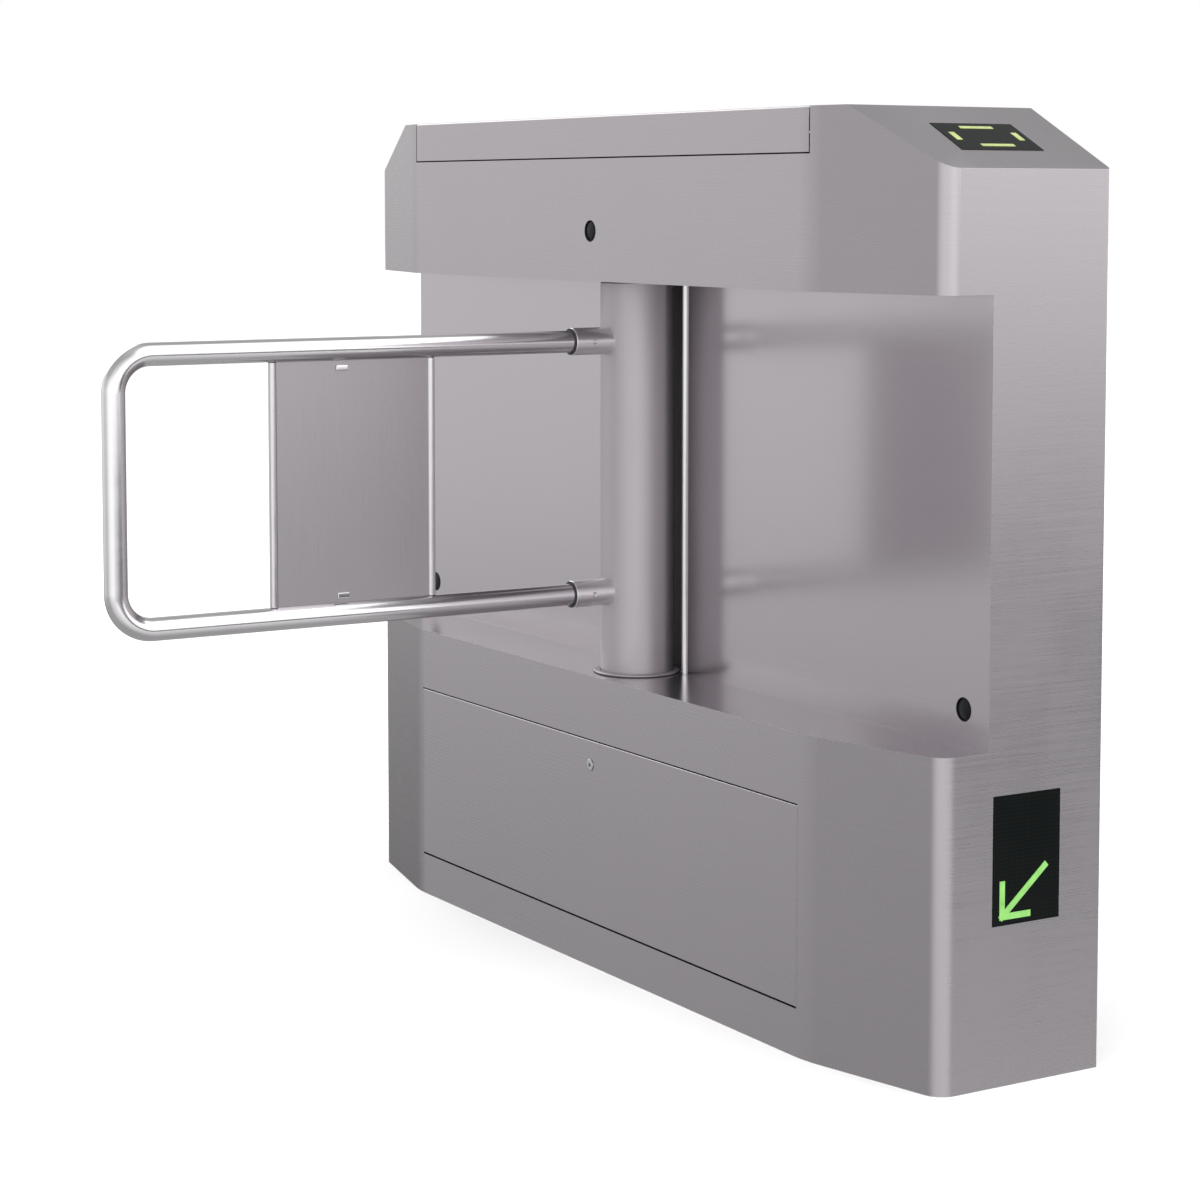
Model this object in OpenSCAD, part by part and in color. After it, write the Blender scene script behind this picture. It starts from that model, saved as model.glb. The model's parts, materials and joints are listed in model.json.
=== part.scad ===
// Bridge-type swing barrier for a visitor entrance: a sheet-steel cabinet with a through recess, in which a
// powered column turns and carries a tubular swing arm with a centre panel.
// Origin: centre of the cabinet's footprint on the floor. +X runs along the cabinet, the arm is on the -Y side.

/* [Cabinet] */
// Overall length of the cabinet
cabinet_l = 1200; // [1000:10:1440]
// Depth from the flat front to the back
cabinet_d = 246; // [236:2:296]
// Overall height
cabinet_h = 980; // [900:10:1176]
// Length of the flat part of the front
flat_l = 852; // [700:2:900]
// Depth of the slanted part at each end of the front
nose_d = 41; // [31:1:56]
// Thickness of the sheet steel
sheet = 1.5; // [1:0.1:2]
// Outer radius of the front end corners
corner_r = 22; // [10:1:30]
// Outer radius of the shallow bends in the front
bend_r = 150; // [60:10:200]
// Outer radius of the rear corners
rear_r = 5; // [3:0.5:10]
// Width of the flange left at each rear corner
rear_flange_w = 20; // [14:1:30]

/* [Recess] */
// Height of the recess floor
deck_z = 340; // [320:2:408]
// Height of the bridge, from its underside to the roof
bridge_h = 187; // [180:1:224]
// Depth of the recess, from the end corner to its wall
recess_d = 57; // [50:1:62]
// Clearance between the column and each side of the bay behind it
bay_gap = 2; // [1:0.5:6]
// Clearance between the ring round the column's foot and the back of the bay
bay_back_gap = 3.5; // [2:0.5:10]
// Diameter of the half-round trim on the bay's edges
trim_d = 8; // [6:0.5:10]

/* [Roof] */
// Length of each end slope, measured along the cabinet
slope_l = 125; // [90:1:130]
// Drop of each end slope
slope_h = 64; // [40:1:76]
// Height of the lid's front skirt
skirt_h = 48; // [30:1:56]
// Height of the lid's rear flange
lid_flange_h = 16; // [14:1:20]
// Width of the open seams round the lid and the door
seam = 1.5; // [1:0.1:2.5]

/* [Access door] */
// Distance from each end of the flat front to the door opening
door_set = 10.5; // [8:0.5:90]
// Height of the door opening's lower edge
door_z = 51; // [45:1:70]
// Height of the door opening
door_h = 215; // [180:1:250]
// Depth of the folded edges round the door and its opening
fold_d = 12; // [11:0.5:14]
// Distance from the opening's upper edge to the lock
lock_drop = 30; // [26:1:36]
// Diameter of the door lock's barrel
lock_d = 14; // [12:0.5:18]

/* [Column] */
// Outer diameter of the turning column
column_d = 84; // [70:1:100]
// Wall thickness of the column
column_wall = 2; // [1.5:0.1:3]
// Distance from the flat front to the column's axis
column_set = 63; // [60:0.5:66]
// Width of the ring round the column's foot
ring_w = 8; // [5:0.5:10]
// Diameter of the main shaft
shaft_d = 30; // [25:1:36]
// Outer diameter of the main bearings
bearing_d = 62; // [55:1:75]
// Height of the main bearings
bearing_h = 16; // [14:1:19]
// Running clearance between shafts and their bearings, on the radius
run_clear = 0.03; // [0.01:0.01:0.1]

/* [Arm] */
// Distance from the column's axis to the arm's outer face
arm_reach = 652; // [540:1:780]
// Outer diameter of the arm's tube
tube_d = 25; // [20:0.5:30]
// Wall thickness of the arm's tube
tube_wall = 1.5; // [1:0.1:2]
// Height of the lower tube's axis above the recess floor
arm_rise = 96; // [50:1:115]
// Distance from the bridge's underside to the upper tube's axis
arm_drop = 68; // [48:1:115]
// Bend radius of the arm's corners, on the tube's axis
arm_bend_r = 40; // [32:1:48]
// Wall thickness of the sockets on the column
socket_wall = 3; // [2:0.5:5]
// Length of the sockets, measured from the column's surface
socket_l = 48; // [35:1:60]
// Distance from the column's axis to the panel's inner edge
panel_near = 264; // [220:1:270]
// Width of the panel, with its edge channels
panel_w = 200; // [160:1:240]
// Thickness of the panel
panel_t = 2; // [1.5:0.1:3]
// Width of the panel's edge channels
channel_w = 9; // [7:0.5:12]

/* [Drive] */
// Module of the gear pair
gear_m = 2; // [1.8:0.1:2]
// Teeth of the gear on the main shaft
wheel_teeth = 50; // [42:1:52]
// Teeth of the motor's pinion
pinion_teeth = 20; // [18:1:22]
// Face width of the gears
gear_h = 14; // [10:1:18]
// Diameter of the motor's output shaft
motor_shaft_d = 12; // [10:0.5:14]
// Diameter of the reduction gearbox
gearbox_d = 60; // [50:1:66]
// Diameter of the motor
motor_d = 56; // [46:1:60]
// Thickness of the steel mounting plates
plate_t = 8; // [6:0.5:10]

/* [Displays and sensors] */
// Width of the direction display on each end
arrow_w = 86; // [70:1:100]
// Height of the direction display
arrow_h = 132; // [110:1:150]
// Distance from the recess floor down to the direction display's centre
arrow_drop = 110; // [92:1:150]
// Width of the status display on each slope
status_w = 104; // [80:1:110]
// Length of the status display along the slope
status_l = 60; // [50:1:64]
// Diameter of the sensor lenses
lens_d = 24; // [12:0.5:28]
// Height of the sensor in the fascia above the bridge's underside
fascia_sensor_rise = 57; // [40:1:70]
// Height of the sensors in the recess wall above the recess floor
wall_sensor_rise = 38; // [30:1:90]
// Distance from each end to the sensor in the recess wall
wall_sensor_set = 40; // [30:1:60]

/* [Base] */
// Thickness of the base plate
base_t = 4; // [3:0.5:6]
// Distance from each end to the anchor holes
anchor_set = 100; // [60:5:160]
// Anchor hole spacing across the cabinet
anchor_y = 130; // [110:1:140]
// Diameter of the anchor holes
anchor_d = 14; // [10:0.5:18]
// Side of the square tubes of the inner frame
post_w = 30; // [25:1:35]
// Wall thickness of the square tubes
post_wall = 2; // [1.5:0.5:3]
// Distance from the far end to the cable grommet
grommet_set = 300; // [150:10:400]
// Bore of the cable grommet
grommet_bore = 24; // [16:1:30]

/* [Hidden] */
$fn = 64;
eps = 0.01;
snug = 0.3; // side clearance between neighbours that are not a fit
back_y = cabinet_d / 2;
front_y = -cabinet_d / 2;
end_x = cabinet_l / 2;
end_front_y = front_y + nose_d;
soffit_z = cabinet_h - bridge_h;
wall_y = end_front_y + recess_d;
bend_angle = atan((end_front_y - front_y) / (end_x - flat_l / 2));
slope_angle = atan(slope_h / slope_l);
seam_z = cabinet_h - skirt_h;
column_y = front_y + column_set;
column_r = column_d / 2;
bay_w = column_d + 2 * bay_gap;
bay_d = column_y + column_r + ring_w + bay_back_gap - wall_y - sheet; // behind the wall's sheet
column_gap = 2; // between the column's ends and the sheet next to them
shaft_r = shaft_d / 2;
hole_r = shaft_r + 5; // free passage of the shaft through sheet and plate
lid_cut_x = min(flat_l / 2, end_x - slope_l - 20); // half the length of the roof's opening
lid_x = lid_cut_x - seam;
door_x = flat_l / 2 - door_set;
door_top_z = door_z + door_h;
tube_r = tube_d / 2;
socket_d = tube_d + 2 * socket_wall;
arm_low_z = deck_z + arm_rise;
arm_high_z = soffit_z - arm_drop;
socket_end = 5; // solid end of each socket beside the column
socket_screw_r = 3;
leg_y = arm_reach - tube_r; // axis of the arm's outer leg, from the column's axis
frame_x = end_x - rear_flange_w - post_w / 2 - 5;
post_back_y = back_y - sheet;
post_ys = [wall_y + 2 * sheet + bay_d, post_back_y - post_w]; // low sides of the front and rear posts
frame_top_z = cabinet_h - slope_h - 3 * sheet;
anchor_x = end_x - anchor_set;
grommet_x = grommet_set - end_x;

// Stack of the drive above the bridge's underside
deck_under_z = deck_z - sheet;
upper_plate_z = soffit_z + sheet;
upper_housing_z = upper_plate_z + plate_t;
housing_h = bearing_h + 4;
wheel_z = upper_housing_z + housing_h + 3;
wheel_hub_h = 10;
disc_z = wheel_z + gear_h + wheel_hub_h;
disc_h = 2;
disc_rise = 12;
bracket_z = wheel_z + gear_h + 14;
bracket_t = 6;
gearbox_h = 44;
motor_h = 44;
pressure_angle = 20;
backlash = 0.08; // taken off each flank
disc_r = 36;
pinion_x = gear_m * (wheel_teeth + pinion_teeth) / 2;
wheel_tip_r = gear_m * (wheel_teeth / 2 + 1);
shaft_top_z = disc_z + disc_rise + disc_h + 4;

// Stack of the stop and the brake below the deck
lower_plate_z = deck_under_z - plate_t;
lower_housing_z = lower_plate_z - housing_h;
housing_r = bearing_d / 2 + 9;
stop_h = 14;
stop_z = lower_housing_z - 6 - stop_h;
stop_reach = column_set - sheet - 4;
stop_w = 16;
buffer_t = 5;
rotor_h = 7;
rotor_z = stop_z - 3 - rotor_h;
brake_h = 34;
brake_z = rotor_z - 2 - brake_h;
brake_r = 36;
shaft_low_z = brake_z + 4;

sensor_l = column_set - wheel_tip_r - 1; // depth of each sensor, which ends clear of the gear
arrow_y = (end_front_y + back_y) / 2 + 4;
arrow_z = deck_z - arrow_drop;
status_y = (end_front_y + back_y) / 2 - 6;

// Upright that carries the electrical equipment, as its low corner
equipment_x = 130;
equipment_y = 60;

// Hinge of the lid, outside the back
lid_pin_r = 1.5;
lid_barrel_r = 3.5;
lid_pin_gap = 0.4; // between the hinge barrels and the lid's rear flange
lid_pin_y = back_y + lid_barrel_r + lid_pin_gap;
lid_pin_z = cabinet_h - lid_flange_h + 3;
rear_top_z = lid_pin_z - 5; // top of the fixed back under the lid's rear flange
panel_top_z = cabinet_h - slope_h - 20; // top of the screwed rear panel
lid_end_h = 12; // height of the lid's folded ends
lid_hinge_xs = [-0.7 * lid_x, 0, 0.7 * lid_x];
hinge_w = 60;

// Hinge of the access door, inside its lower edge
door_pin_r = 2;
door_pin_y = front_y + 6.5;
door_pin_z = door_z + 9;
knuckle_r = 4;
door_hinge_xs = [-0.72 * door_x, 0.72 * door_x];
lock_z = door_top_z - lock_drop;

// Points on an arc round c, from angle a0 to a1
function arc(c, r, a0, a1, steps) =
    [for (i = [0:steps]) let (a = a0 + (a1 - a0) * i / steps) [c[0] + r * cos(a), c[1] + r * sin(a)]];

// Distance from a bend's corner to where its arc begins
function tangent(r, turn) = r * tan(turn / 2);

// Right half of the plan outline, from the middle of the front to the middle of the back, inset by d
function half_outline(d) =
    let (bend_t = tangent(bend_r, bend_angle), corner_t = tangent(corner_r, 90 - bend_angle))
    concat(
        arc([flat_l / 2 - bend_t, front_y + bend_r], bend_r - d, -90, -90 + bend_angle, 4),
        arc([end_x - corner_r, end_front_y + corner_t], corner_r - d, -90 + bend_angle, 0, 9),
        arc([end_x - rear_r, back_y - rear_r], rear_r - d, 0, 90, 4));

// Whole plan outline of the cabinet, inset by d
module outline(d = 0) {
    half = half_outline(d);
    count = len(half);
    polygon(concat(half, [for (i = [count - 1:-1:0]) [-half[i][0], half[i][1]]]));
}

// Ring of sheet that follows the outline, without its back between the rear flanges
module wrap(z0, z1) {
    translate([0, 0, z0]) linear_extrude(z1 - z0) difference() {
        outline();
        outline(sheet);
        translate([-end_x + rear_flange_w, back_y - 2 * sheet])
            square([cabinet_l - 2 * rear_flange_w, 4 * sheet]);
    }
}

// The children, trimmed to the plan outline between z0 and z1
module within_outline(z0, z1) {
    intersection() {
        translate([0, 0, z0]) linear_extrude(z1 - z0) outline();
        children();
    }
}

// Both ends of the cabinet: the child is drawn for the near end
module at_both_ends() {
    children();
    mirror([1, 0, 0]) children();
}

// Local frame in the middle of the near end's slope: +X runs down the slope, +Z leaves the sheet
module on_slope() {
    translate([end_x - slope_l / 2, status_y, cabinet_h - slope_h / 2])
        rotate([0, slope_angle, 0]) children();
}

// Box from one corner to the opposite one
module span(low, high) {
    translate(low) cube(high - low);
}

// Disc or rod standing on z0, on the column's axis unless an x is given
module post(r, z0, z1, x = 0) {
    translate([x, column_y, z0]) cylinder(r = r, h = z1 - z0);
}

// Rod along X, centred on x
module rod_x(r, l, x, y, z) {
    translate([x - l / 2, y, z]) rotate([0, 90, 0]) cylinder(r = r, h = l);
}

// Rod along Y from y0 to y1
module rod_y(r, x, y0, y1, z) {
    translate([x, y0, z]) rotate([-90, 0, 0]) cylinder(r = r, h = y1 - y0);
}

// ---- Base and frame ----

// Floor plate with the anchor holes and the cable hole
module base_plate() {
    color("dimgray") difference() {
        linear_extrude(base_t) outline(sheet + snug);
        for (x = [-anchor_x, anchor_x], y = [-anchor_y / 2, anchor_y / 2])
            translate([x, y, -eps]) cylinder(d = anchor_d, h = base_t + 2 * eps);
        translate([grommet_x, 0, -eps]) cylinder(r = grommet_bore / 2 + 4, h = base_t + 2 * eps);
    }
}

// Rubber edge of the cable hole
module cable_grommet() {
    color("black") translate([grommet_x, 0, 0]) rotate_extrude() polygon([
        [grommet_bore / 2, 0.5], [grommet_bore / 2 + 4, 0.5], [grommet_bore / 2 + 4, base_t],
        [grommet_bore / 2 + 8, base_t], [grommet_bore / 2 + 8, base_t + 3], [grommet_bore / 2, base_t + 3]]);
}

// Four upright square tubes of the inner frame
module frame_posts() {
    color("slategray") for (x = [-frame_x, frame_x], y = post_ys) difference() {
        span([x - post_w / 2, y, base_t], [x + post_w / 2, y + post_w, frame_top_z]);
        span([x - post_w / 2 + post_wall, y + post_wall, base_t - 1],
            [x + post_w / 2 - post_wall, y + post_w - post_wall, frame_top_z + 1]);
    }
}

// Square tubes that join the posts at each end, low and high, and along the back above the recess
module frame_rails() {
    color("slategray") {
        for (x = [-frame_x, frame_x], z = [base_t, frame_top_z - post_w]) difference() {
            span([x - post_w / 2, post_ys[0] + post_w, z], [x + post_w / 2, post_ys[1], z + post_w]);
            span([x - post_w / 2 + post_wall, post_ys[0], z + post_wall],
                [x + post_w / 2 - post_wall, post_back_y, z + post_w - post_wall]);
        }
        difference() {
            span([-frame_x + post_w / 2, post_ys[1], soffit_z], [frame_x - post_w / 2, post_back_y,
                soffit_z + post_w]);
            span([-frame_x, post_ys[1] + post_wall, soffit_z + post_wall], [frame_x, post_back_y - post_wall,
                soffit_z + post_w - post_wall]);
        }
    }
}

// ---- Sheet-steel casing ----

// Lower casing with the door opening and the cut-outs of the direction displays
module lower_shell() {
    color("silver") difference() {
        union() {
            wrap(0, deck_under_z);
            within_outline(0, deck_z) difference() {
                span([-door_x - sheet, front_y, door_z - sheet], [door_x + sheet, front_y + fold_d,
                    door_top_z + sheet]);
                span([-door_x, front_y - 1, door_z - 2 * sheet], [door_x, front_y + fold_d + 1, door_top_z]);
            }
        }
        span([-door_x, front_y - 1, door_z], [door_x, front_y + fold_d / 2, door_top_z]);
        at_both_ends() arrow_cutout();
    }
}

// Opening of the direction display in an end face
module arrow_cutout() {
    span([end_x - 2 * sheet, arrow_y - arrow_w / 2, arrow_z - arrow_h / 2],
        [end_x + sheet, arrow_y + arrow_w / 2, arrow_z + arrow_h / 2]);
}

// Sheet that closes the recess above or below, from z to z + sheet, with a tongue under the bay
module recess_sheet(z, inset) {
    difference() {
        intersection() {
            translate([0, 0, z]) linear_extrude(sheet) outline(inset);
            union() {
                span([-end_x, front_y, z], [end_x, wall_y + sheet, z + sheet]);
                span([-bay_w / 2 - sheet, front_y, z], [bay_w / 2 + sheet, wall_y + 2 * sheet + bay_d, z + sheet]);
            }
        }
        post(hole_r, z - 1, z + sheet + 1);
    }
}

// Recess floor, in front of the recess wall
module deck_plate() {
    color("lightgray") recess_sheet(deck_under_z, 0);
}

// Back wall of the recess, open behind the column and pierced for the sensors
module recess_wall() {
    color("silver") difference() {
        span([-end_x, wall_y, deck_z], [end_x, wall_y + sheet, soffit_z]);
        span([-bay_w / 2, wall_y - 1, deck_z - 1], [bay_w / 2, wall_y + sheet + 1, soffit_z + 1]);
        for (side = [-1, 1])
            rod_y(lens_d / 2 + snug, side * (end_x - wall_sensor_set), wall_y - 1, wall_y + sheet + 1,
                deck_z + wall_sensor_rise);
    }
}

// End faces between the lower casing and the bridge, behind the recess
module spine_ends() {
    color("silver") intersection() {
        wrap(deck_under_z, soffit_z);
        span([-end_x, wall_y + sheet, deck_under_z], [end_x, back_y, soffit_z]);
    }
}

// Dark sheet pocket behind the column
module column_bay() {
    inner_y = wall_y + sheet;
    color("black") difference() {
        span([-bay_w / 2 - sheet, inner_y, deck_z], [bay_w / 2 + sheet, inner_y + bay_d + sheet, soffit_z]);
        span([-bay_w / 2, inner_y - 1, deck_z - 1], [bay_w / 2, inner_y + bay_d, soffit_z + 1]);
    }
}

// Polished half-round strips on the two edges of the bay
module bay_trims() {
    color("white") for (side = [-1, 1]) intersection() {
        translate([side * (bay_w / 2 + trim_d / 2), wall_y, deck_z]) cylinder(d = trim_d, h = soffit_z - deck_z);
        span([-bay_w, wall_y - trim_d, deck_z], [bay_w, wall_y, soffit_z]);
    }
}

// Underside of the bridge, in front of the recess wall
module soffit_plate() {
    color("silver") recess_sheet(soffit_z, sheet);
}

// Solid of the bridge with its end slopes, every face moved inwards by d
module bridge_solid(d, z0) {
    fall = d / cos(slope_angle);
    top = cabinet_h - d;
    ridge = end_x - slope_l - (fall - d) / tan(slope_angle);
    foot = cabinet_h - slope_h - fall;
    intersection() {
        translate([0, 0, z0]) linear_extrude(cabinet_h - z0) outline(d);
        translate([0, back_y + 1, 0]) rotate([90, 0, 0]) linear_extrude(cabinet_d + 2)
            polygon([[-end_x, z0], [end_x, z0], [end_x, foot], [ridge, top], [-ridge, top], [-end_x, foot]]);
    }
}

// Folded ledge that one end of the lid rests on
module lid_ledge() {
    ledge_z = cabinet_h - lid_end_h - snug;
    back = back_y - sheet - 4;
    intersection() {
        span([lid_cut_x - 16, front_y + sheet, ledge_z - sheet], [lid_cut_x + sheet, back, ledge_z]);
        translate([0, 0, soffit_z]) linear_extrude(bridge_h) outline(sheet + snug);
    }
    span([lid_cut_x, front_y + sheet, ledge_z - eps], [lid_cut_x + sheet, back, cabinet_h - sheet]);
}

// Bridge casing with the end slopes, open at the back and under the lid
module upper_shell() {
    color("silver") difference() {
        bridge_solid(0, soffit_z);
        bridge_solid(sheet, soffit_z - 1);
        span([-end_x + rear_flange_w, back_y - 2 * sheet, soffit_z - 1],
            [end_x - rear_flange_w, back_y + 1, panel_top_z]);
        span([-lid_cut_x, back_y - 2 * sheet, rear_top_z], [lid_cut_x, back_y + 1, cabinet_h + 1]);
        span([-lid_cut_x, front_y - 1, seam_z], [lid_cut_x, back_y - 2 * sheet + eps, cabinet_h + 1]);
        rod_y(lens_d / 2 + snug, 0, front_y - 1, front_y + 2 * sheet,
            soffit_z + fascia_sensor_rise);
        at_both_ends() on_slope()
            cube([status_l, status_w, 6 * sheet], center = true);
    }
    color("silver") at_both_ends() lid_ledge();
}

// Screwed cover of the whole back
module rear_panel() {
    color("silver") difference() {
        span([-end_x + rear_flange_w + snug, back_y - sheet, base_t + 2],
            [end_x - rear_flange_w - snug, back_y, panel_top_z - snug]);
        for (p = rear_screw_places()) rod_y(2.5, p[0], back_y - 2 * sheet, back_y + 1, p[1]);
    }
}

function rear_screw_places() =
    [for (x = [-frame_x, frame_x], i = [0:3]) [x, 60 + i * (panel_top_z - 136) / 3]];

// Button-head screws of the rear panel
module rear_screws() {
    color("gainsboro") for (p = rear_screw_places()) {
        rod_y(2.4, p[0], back_y - sheet, back_y, p[1]);
        rod_y(5, p[0], back_y, back_y + 2.2, p[1]);
    }
}

// ---- Column supports and drive ----

// Dark ring on the deck round the column's foot
module base_ring() {
    color("black") difference() {
        post(column_r + ring_w, deck_z, deck_z + 3);
        post(column_r + 0.6, deck_z - 1, deck_z + 4);
    }
}

// Steel plate under the deck
module lower_bearing_plate() {
    color("gray") difference() {
        span([-75, column_y - column_set + 10, lower_plate_z], [75, column_y + 55, deck_under_z]);
        post(hole_r, lower_plate_z - 1, deck_under_z + 1);
    }
}

// Flanged pot that holds a main bearing: z is its open mouth's height, up is 1 or -1
module bearing_pot(z, up) {
    translate([0, column_y, z]) mirror([0, 0, up > 0 ? 0 : 1]) difference() {
        cylinder(r = housing_r, h = housing_h);
        translate([0, 0, -1]) cylinder(r = hole_r, h = housing_h + 2);
        translate([0, 0, 2]) cylinder(d = bearing_d, h = housing_h);
    }
}

module lower_bearing_housing() {
    color("gray") bearing_pot(lower_plate_z, -1);
}

module upper_bearing_housing() {
    color("gray") bearing_pot(upper_housing_z, 1);
}

// Ball bearing as its closed outer shape
module main_bearing(z) {
    color("lightgray") difference() {
        post(bearing_d / 2, z, z + bearing_h);
        post(shaft_r + run_clear, z - 1, z + bearing_h + 1);
    }
}

module lower_bearing() {
    main_bearing(lower_plate_z - 2 - bearing_h);
}

module upper_bearing() {
    main_bearing(upper_housing_z + 2);
}

// Blocks that end the swing, one on each side of the shaft
module stop_blocks() {
    x = stop_w / 2 + 1 + buffer_t;
    color("gray") for (side = [-1, 1])
        span([x, column_y + side * (stop_reach - 8) - 8, stop_z - 2],
            [x + 18, column_y + side * (stop_reach - 8) + 8, lower_plate_z]);
}

// Rubber pads on the stop blocks
module stop_buffers() {
    x = stop_w / 2 + 1;
    color("black") for (side = [-1, 1])
        translate([x, column_y + side * (stop_reach - 8), stop_z + stop_h / 2]) rotate([0, 90, 0])
            cylinder(d = 14, h = buffer_t);
}

// Holding brake with its flange and the pillars that hang it from the plate
module brake_body() {
    color("darkslategray") difference() {
        union() {
            post(brake_r, brake_z, brake_z + brake_h);
            span([0, column_y - 34, brake_z + brake_h - 6], [56, column_y + 34, brake_z + brake_h]);
            for (dy = [-18, 18])
                translate([brake_r + 12, column_y + dy, brake_z + brake_h - 6])
                    cylinder(r = 5, h = lower_plate_z - brake_z - brake_h + 6);
        }
        post(shaft_r + 1, brake_z - 1, brake_z + brake_h + 1);
    }
}

// Steel plate on the bridge's underside that carries the drive
module mechanism_plate() {
    color("gray") difference() {
        span([-80, column_y - column_set + 10, upper_plate_z], [pinion_x + 90, column_y + 75, upper_housing_z]);
        post(hole_r, upper_plate_z - 1, upper_housing_z + 1);
    }
}

// Plate on four pillars that carries the gearbox
module motor_bracket() {
    reach = 34;
    color("gray") difference() {
        union() {
            span([pinion_x - 12, column_y - 50, bracket_z], [pinion_x + 62, column_y + 50, bracket_z + bracket_t]);
            for (dx = [-5, 55], dy = [-43, 43])
                translate([pinion_x + dx, column_y + dy, upper_housing_z])
                    cylinder(r = 5, h = bracket_z - upper_housing_z + eps);
            span([pinion_x - reach, column_y - reach, bracket_z],
                [pinion_x + reach, column_y + reach, bracket_z + bracket_t]);
        }
        post(16, bracket_z - 1, bracket_z + bracket_t + 1, pinion_x);
    }
}

// Reduction gearbox with the bore of its output shaft
module gearbox() {
    color("silver") difference() {
        union() {
            post(gearbox_d / 2, bracket_z + bracket_t, bracket_z + bracket_t + gearbox_h, pinion_x);
            post(15.8, bracket_z, bracket_z + bracket_t + eps, pinion_x);
        }
        post(motor_shaft_d / 2 + run_clear, bracket_z - 1, bracket_z + 24, pinion_x);
    }
}

// Motor with its rear cap
module drive_motor() {
    z = bracket_z + bracket_t + gearbox_h;
    color("black") union() {
        post(motor_d / 2, z, z + motor_h, pinion_x);
        post(motor_d / 2 - 6, z + motor_h - eps, z + motor_h + 6, pinion_x);
    }
}

// Upright that carries the position sensors
module sensor_bracket() {
    color("gray") union() {
        span([-66, column_y - 32, upper_housing_z], [-63, column_y + 32, disc_z + disc_rise + 12]);
        span([-78, column_y - 32, upper_housing_z], [-63, column_y + 32, upper_housing_z + 3]);
    }
}

// Three slotted light barriers that read the position disc
module position_sensors() {
    slot_z = disc_z + disc_rise + disc_h / 2;
    color("black") for (dy = [-20, 0, 20]) difference() {
        span([-63, column_y + dy - 6, slot_z - 10], [-32, column_y + dy + 6, slot_z + 9]);
        span([-48, column_y + dy - 7, slot_z - 3.5], [-31, column_y + dy + 7, slot_z + 3.5]);
    }
}

// ---- Electrical equipment ----

// Upright sheet on the base plate
module equipment_plate() {
    color("gainsboro") union() {
        span([equipment_x, equipment_y, base_t], [equipment_x + 280, equipment_y + 2, 290]);
        span([equipment_x, equipment_y, base_t], [equipment_x + 280, equipment_y + 25, base_t + 2]);
    }
}

// Power supply with its vented cover
module power_supply() {
    color("silver") difference() {
        span([equipment_x + 10, equipment_y - 38, 60], [equipment_x + 125, equipment_y, 219]);
        for (i = [0:9])
            span([equipment_x + 25, equipment_y - 39, 80 + i * 12], [equipment_x + 110, equipment_y - 37, 85 + i * 12]);
    }
}

// Control board on its stand-offs, with its larger components
module control_board() {
    board_y = equipment_y - 14;
    x = equipment_x + 145;
    color("darkgreen") union() {
        span([x, board_y, 70], [x + 120, board_y + 2, 200]);
        for (dx = [8, 112], z = [78, 192]) rod_y(3, x + dx, board_y, equipment_y, z);
        span([x + 14, board_y - 16, 84], [x + 44, board_y + eps, 116]);
        span([x + 58, board_y - 5, 110], [x + 86, board_y + eps, 138]);
        for (i = [0:3]) rod_y(5, x + 20 + i * 14, board_y - 14, board_y + eps, 180);
    }
}

// Row of wiring terminals
module terminal_strip() {
    color("seagreen") difference() {
        span([equipment_x + 20, equipment_y - 24, 240], [equipment_x + 260, equipment_y, 272]);
        for (i = [0:22])
            rod_y(2.6, equipment_x + 29 + i * 10, equipment_y - 25, equipment_y - 14, 256);
    }
}

// ---- Hinges, displays and sensors of the cabinet ----

// Goose-neck posts that hold the access door's pins from inside
module door_hinge_posts() {
    color("gray") for (x = door_hinge_xs) difference() {
        union() {
            for (dx = [-17, 11]) {
                rod_x(knuckle_r, 6, x + dx + 3, door_pin_y, door_pin_z);
                span([x + dx, door_pin_y, door_pin_z - knuckle_r], [x + dx + 6, door_pin_y + 20,
                    door_pin_z + knuckle_r]);
            }
            span([x - 17, door_pin_y + 14, base_t], [x + 17, door_pin_y + 20, door_pin_z + knuckle_r]);
        }
        rod_x(door_pin_r, 40, x, door_pin_y, door_pin_z);
    }
}

// Pins of the access door
module door_hinge_pins() {
    color("gainsboro") for (x = door_hinge_xs) rod_x(door_pin_r, 38, x, door_pin_y, door_pin_z);
}

// Fixed leaves of the lid's hinges
module lid_hinge_leaves() {
    color("silver") for (x = lid_hinge_xs) difference() {
        union() {
            span([x - hinge_w / 2, back_y, lid_pin_z - 28], [x + hinge_w / 2, back_y + 2, rear_top_z]);
            span([x - hinge_w / 2, back_y + lid_pin_gap, rear_top_z - eps],
                [x + hinge_w / 2, back_y + 2, lid_pin_z - 1]);
            for (dx = [-hinge_w / 3, hinge_w / 3])
                rod_x(lid_barrel_r, hinge_w / 3, x + dx, lid_pin_y, lid_pin_z);
        }
        span([x - hinge_w / 6, back_y - 1, lid_pin_z - lid_barrel_r - snug],
            [x + hinge_w / 6, lid_pin_y + 2 * lid_barrel_r, lid_pin_z + lid_barrel_r + 1]);
        rod_x(lid_pin_r, hinge_w + 2, x, lid_pin_y, lid_pin_z);
    }
}

// Pins of the lid's hinges
module lid_hinge_pins() {
    color("white") for (x = lid_hinge_xs) rod_x(lid_pin_r, hinge_w, x, lid_pin_y, lid_pin_z);
}

// Smoked windows of the direction displays
module arrow_windows() {
    color([0.05, 0.06, 0.06]) at_both_ends()
        span([end_x - sheet - 2, arrow_y - arrow_w / 2 + 0.1, arrow_z - arrow_h / 2 + 0.1],
            [end_x + 0.5, arrow_y + arrow_w / 2 - 0.1, arrow_z + arrow_h / 2 - 0.1]);
}

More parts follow.
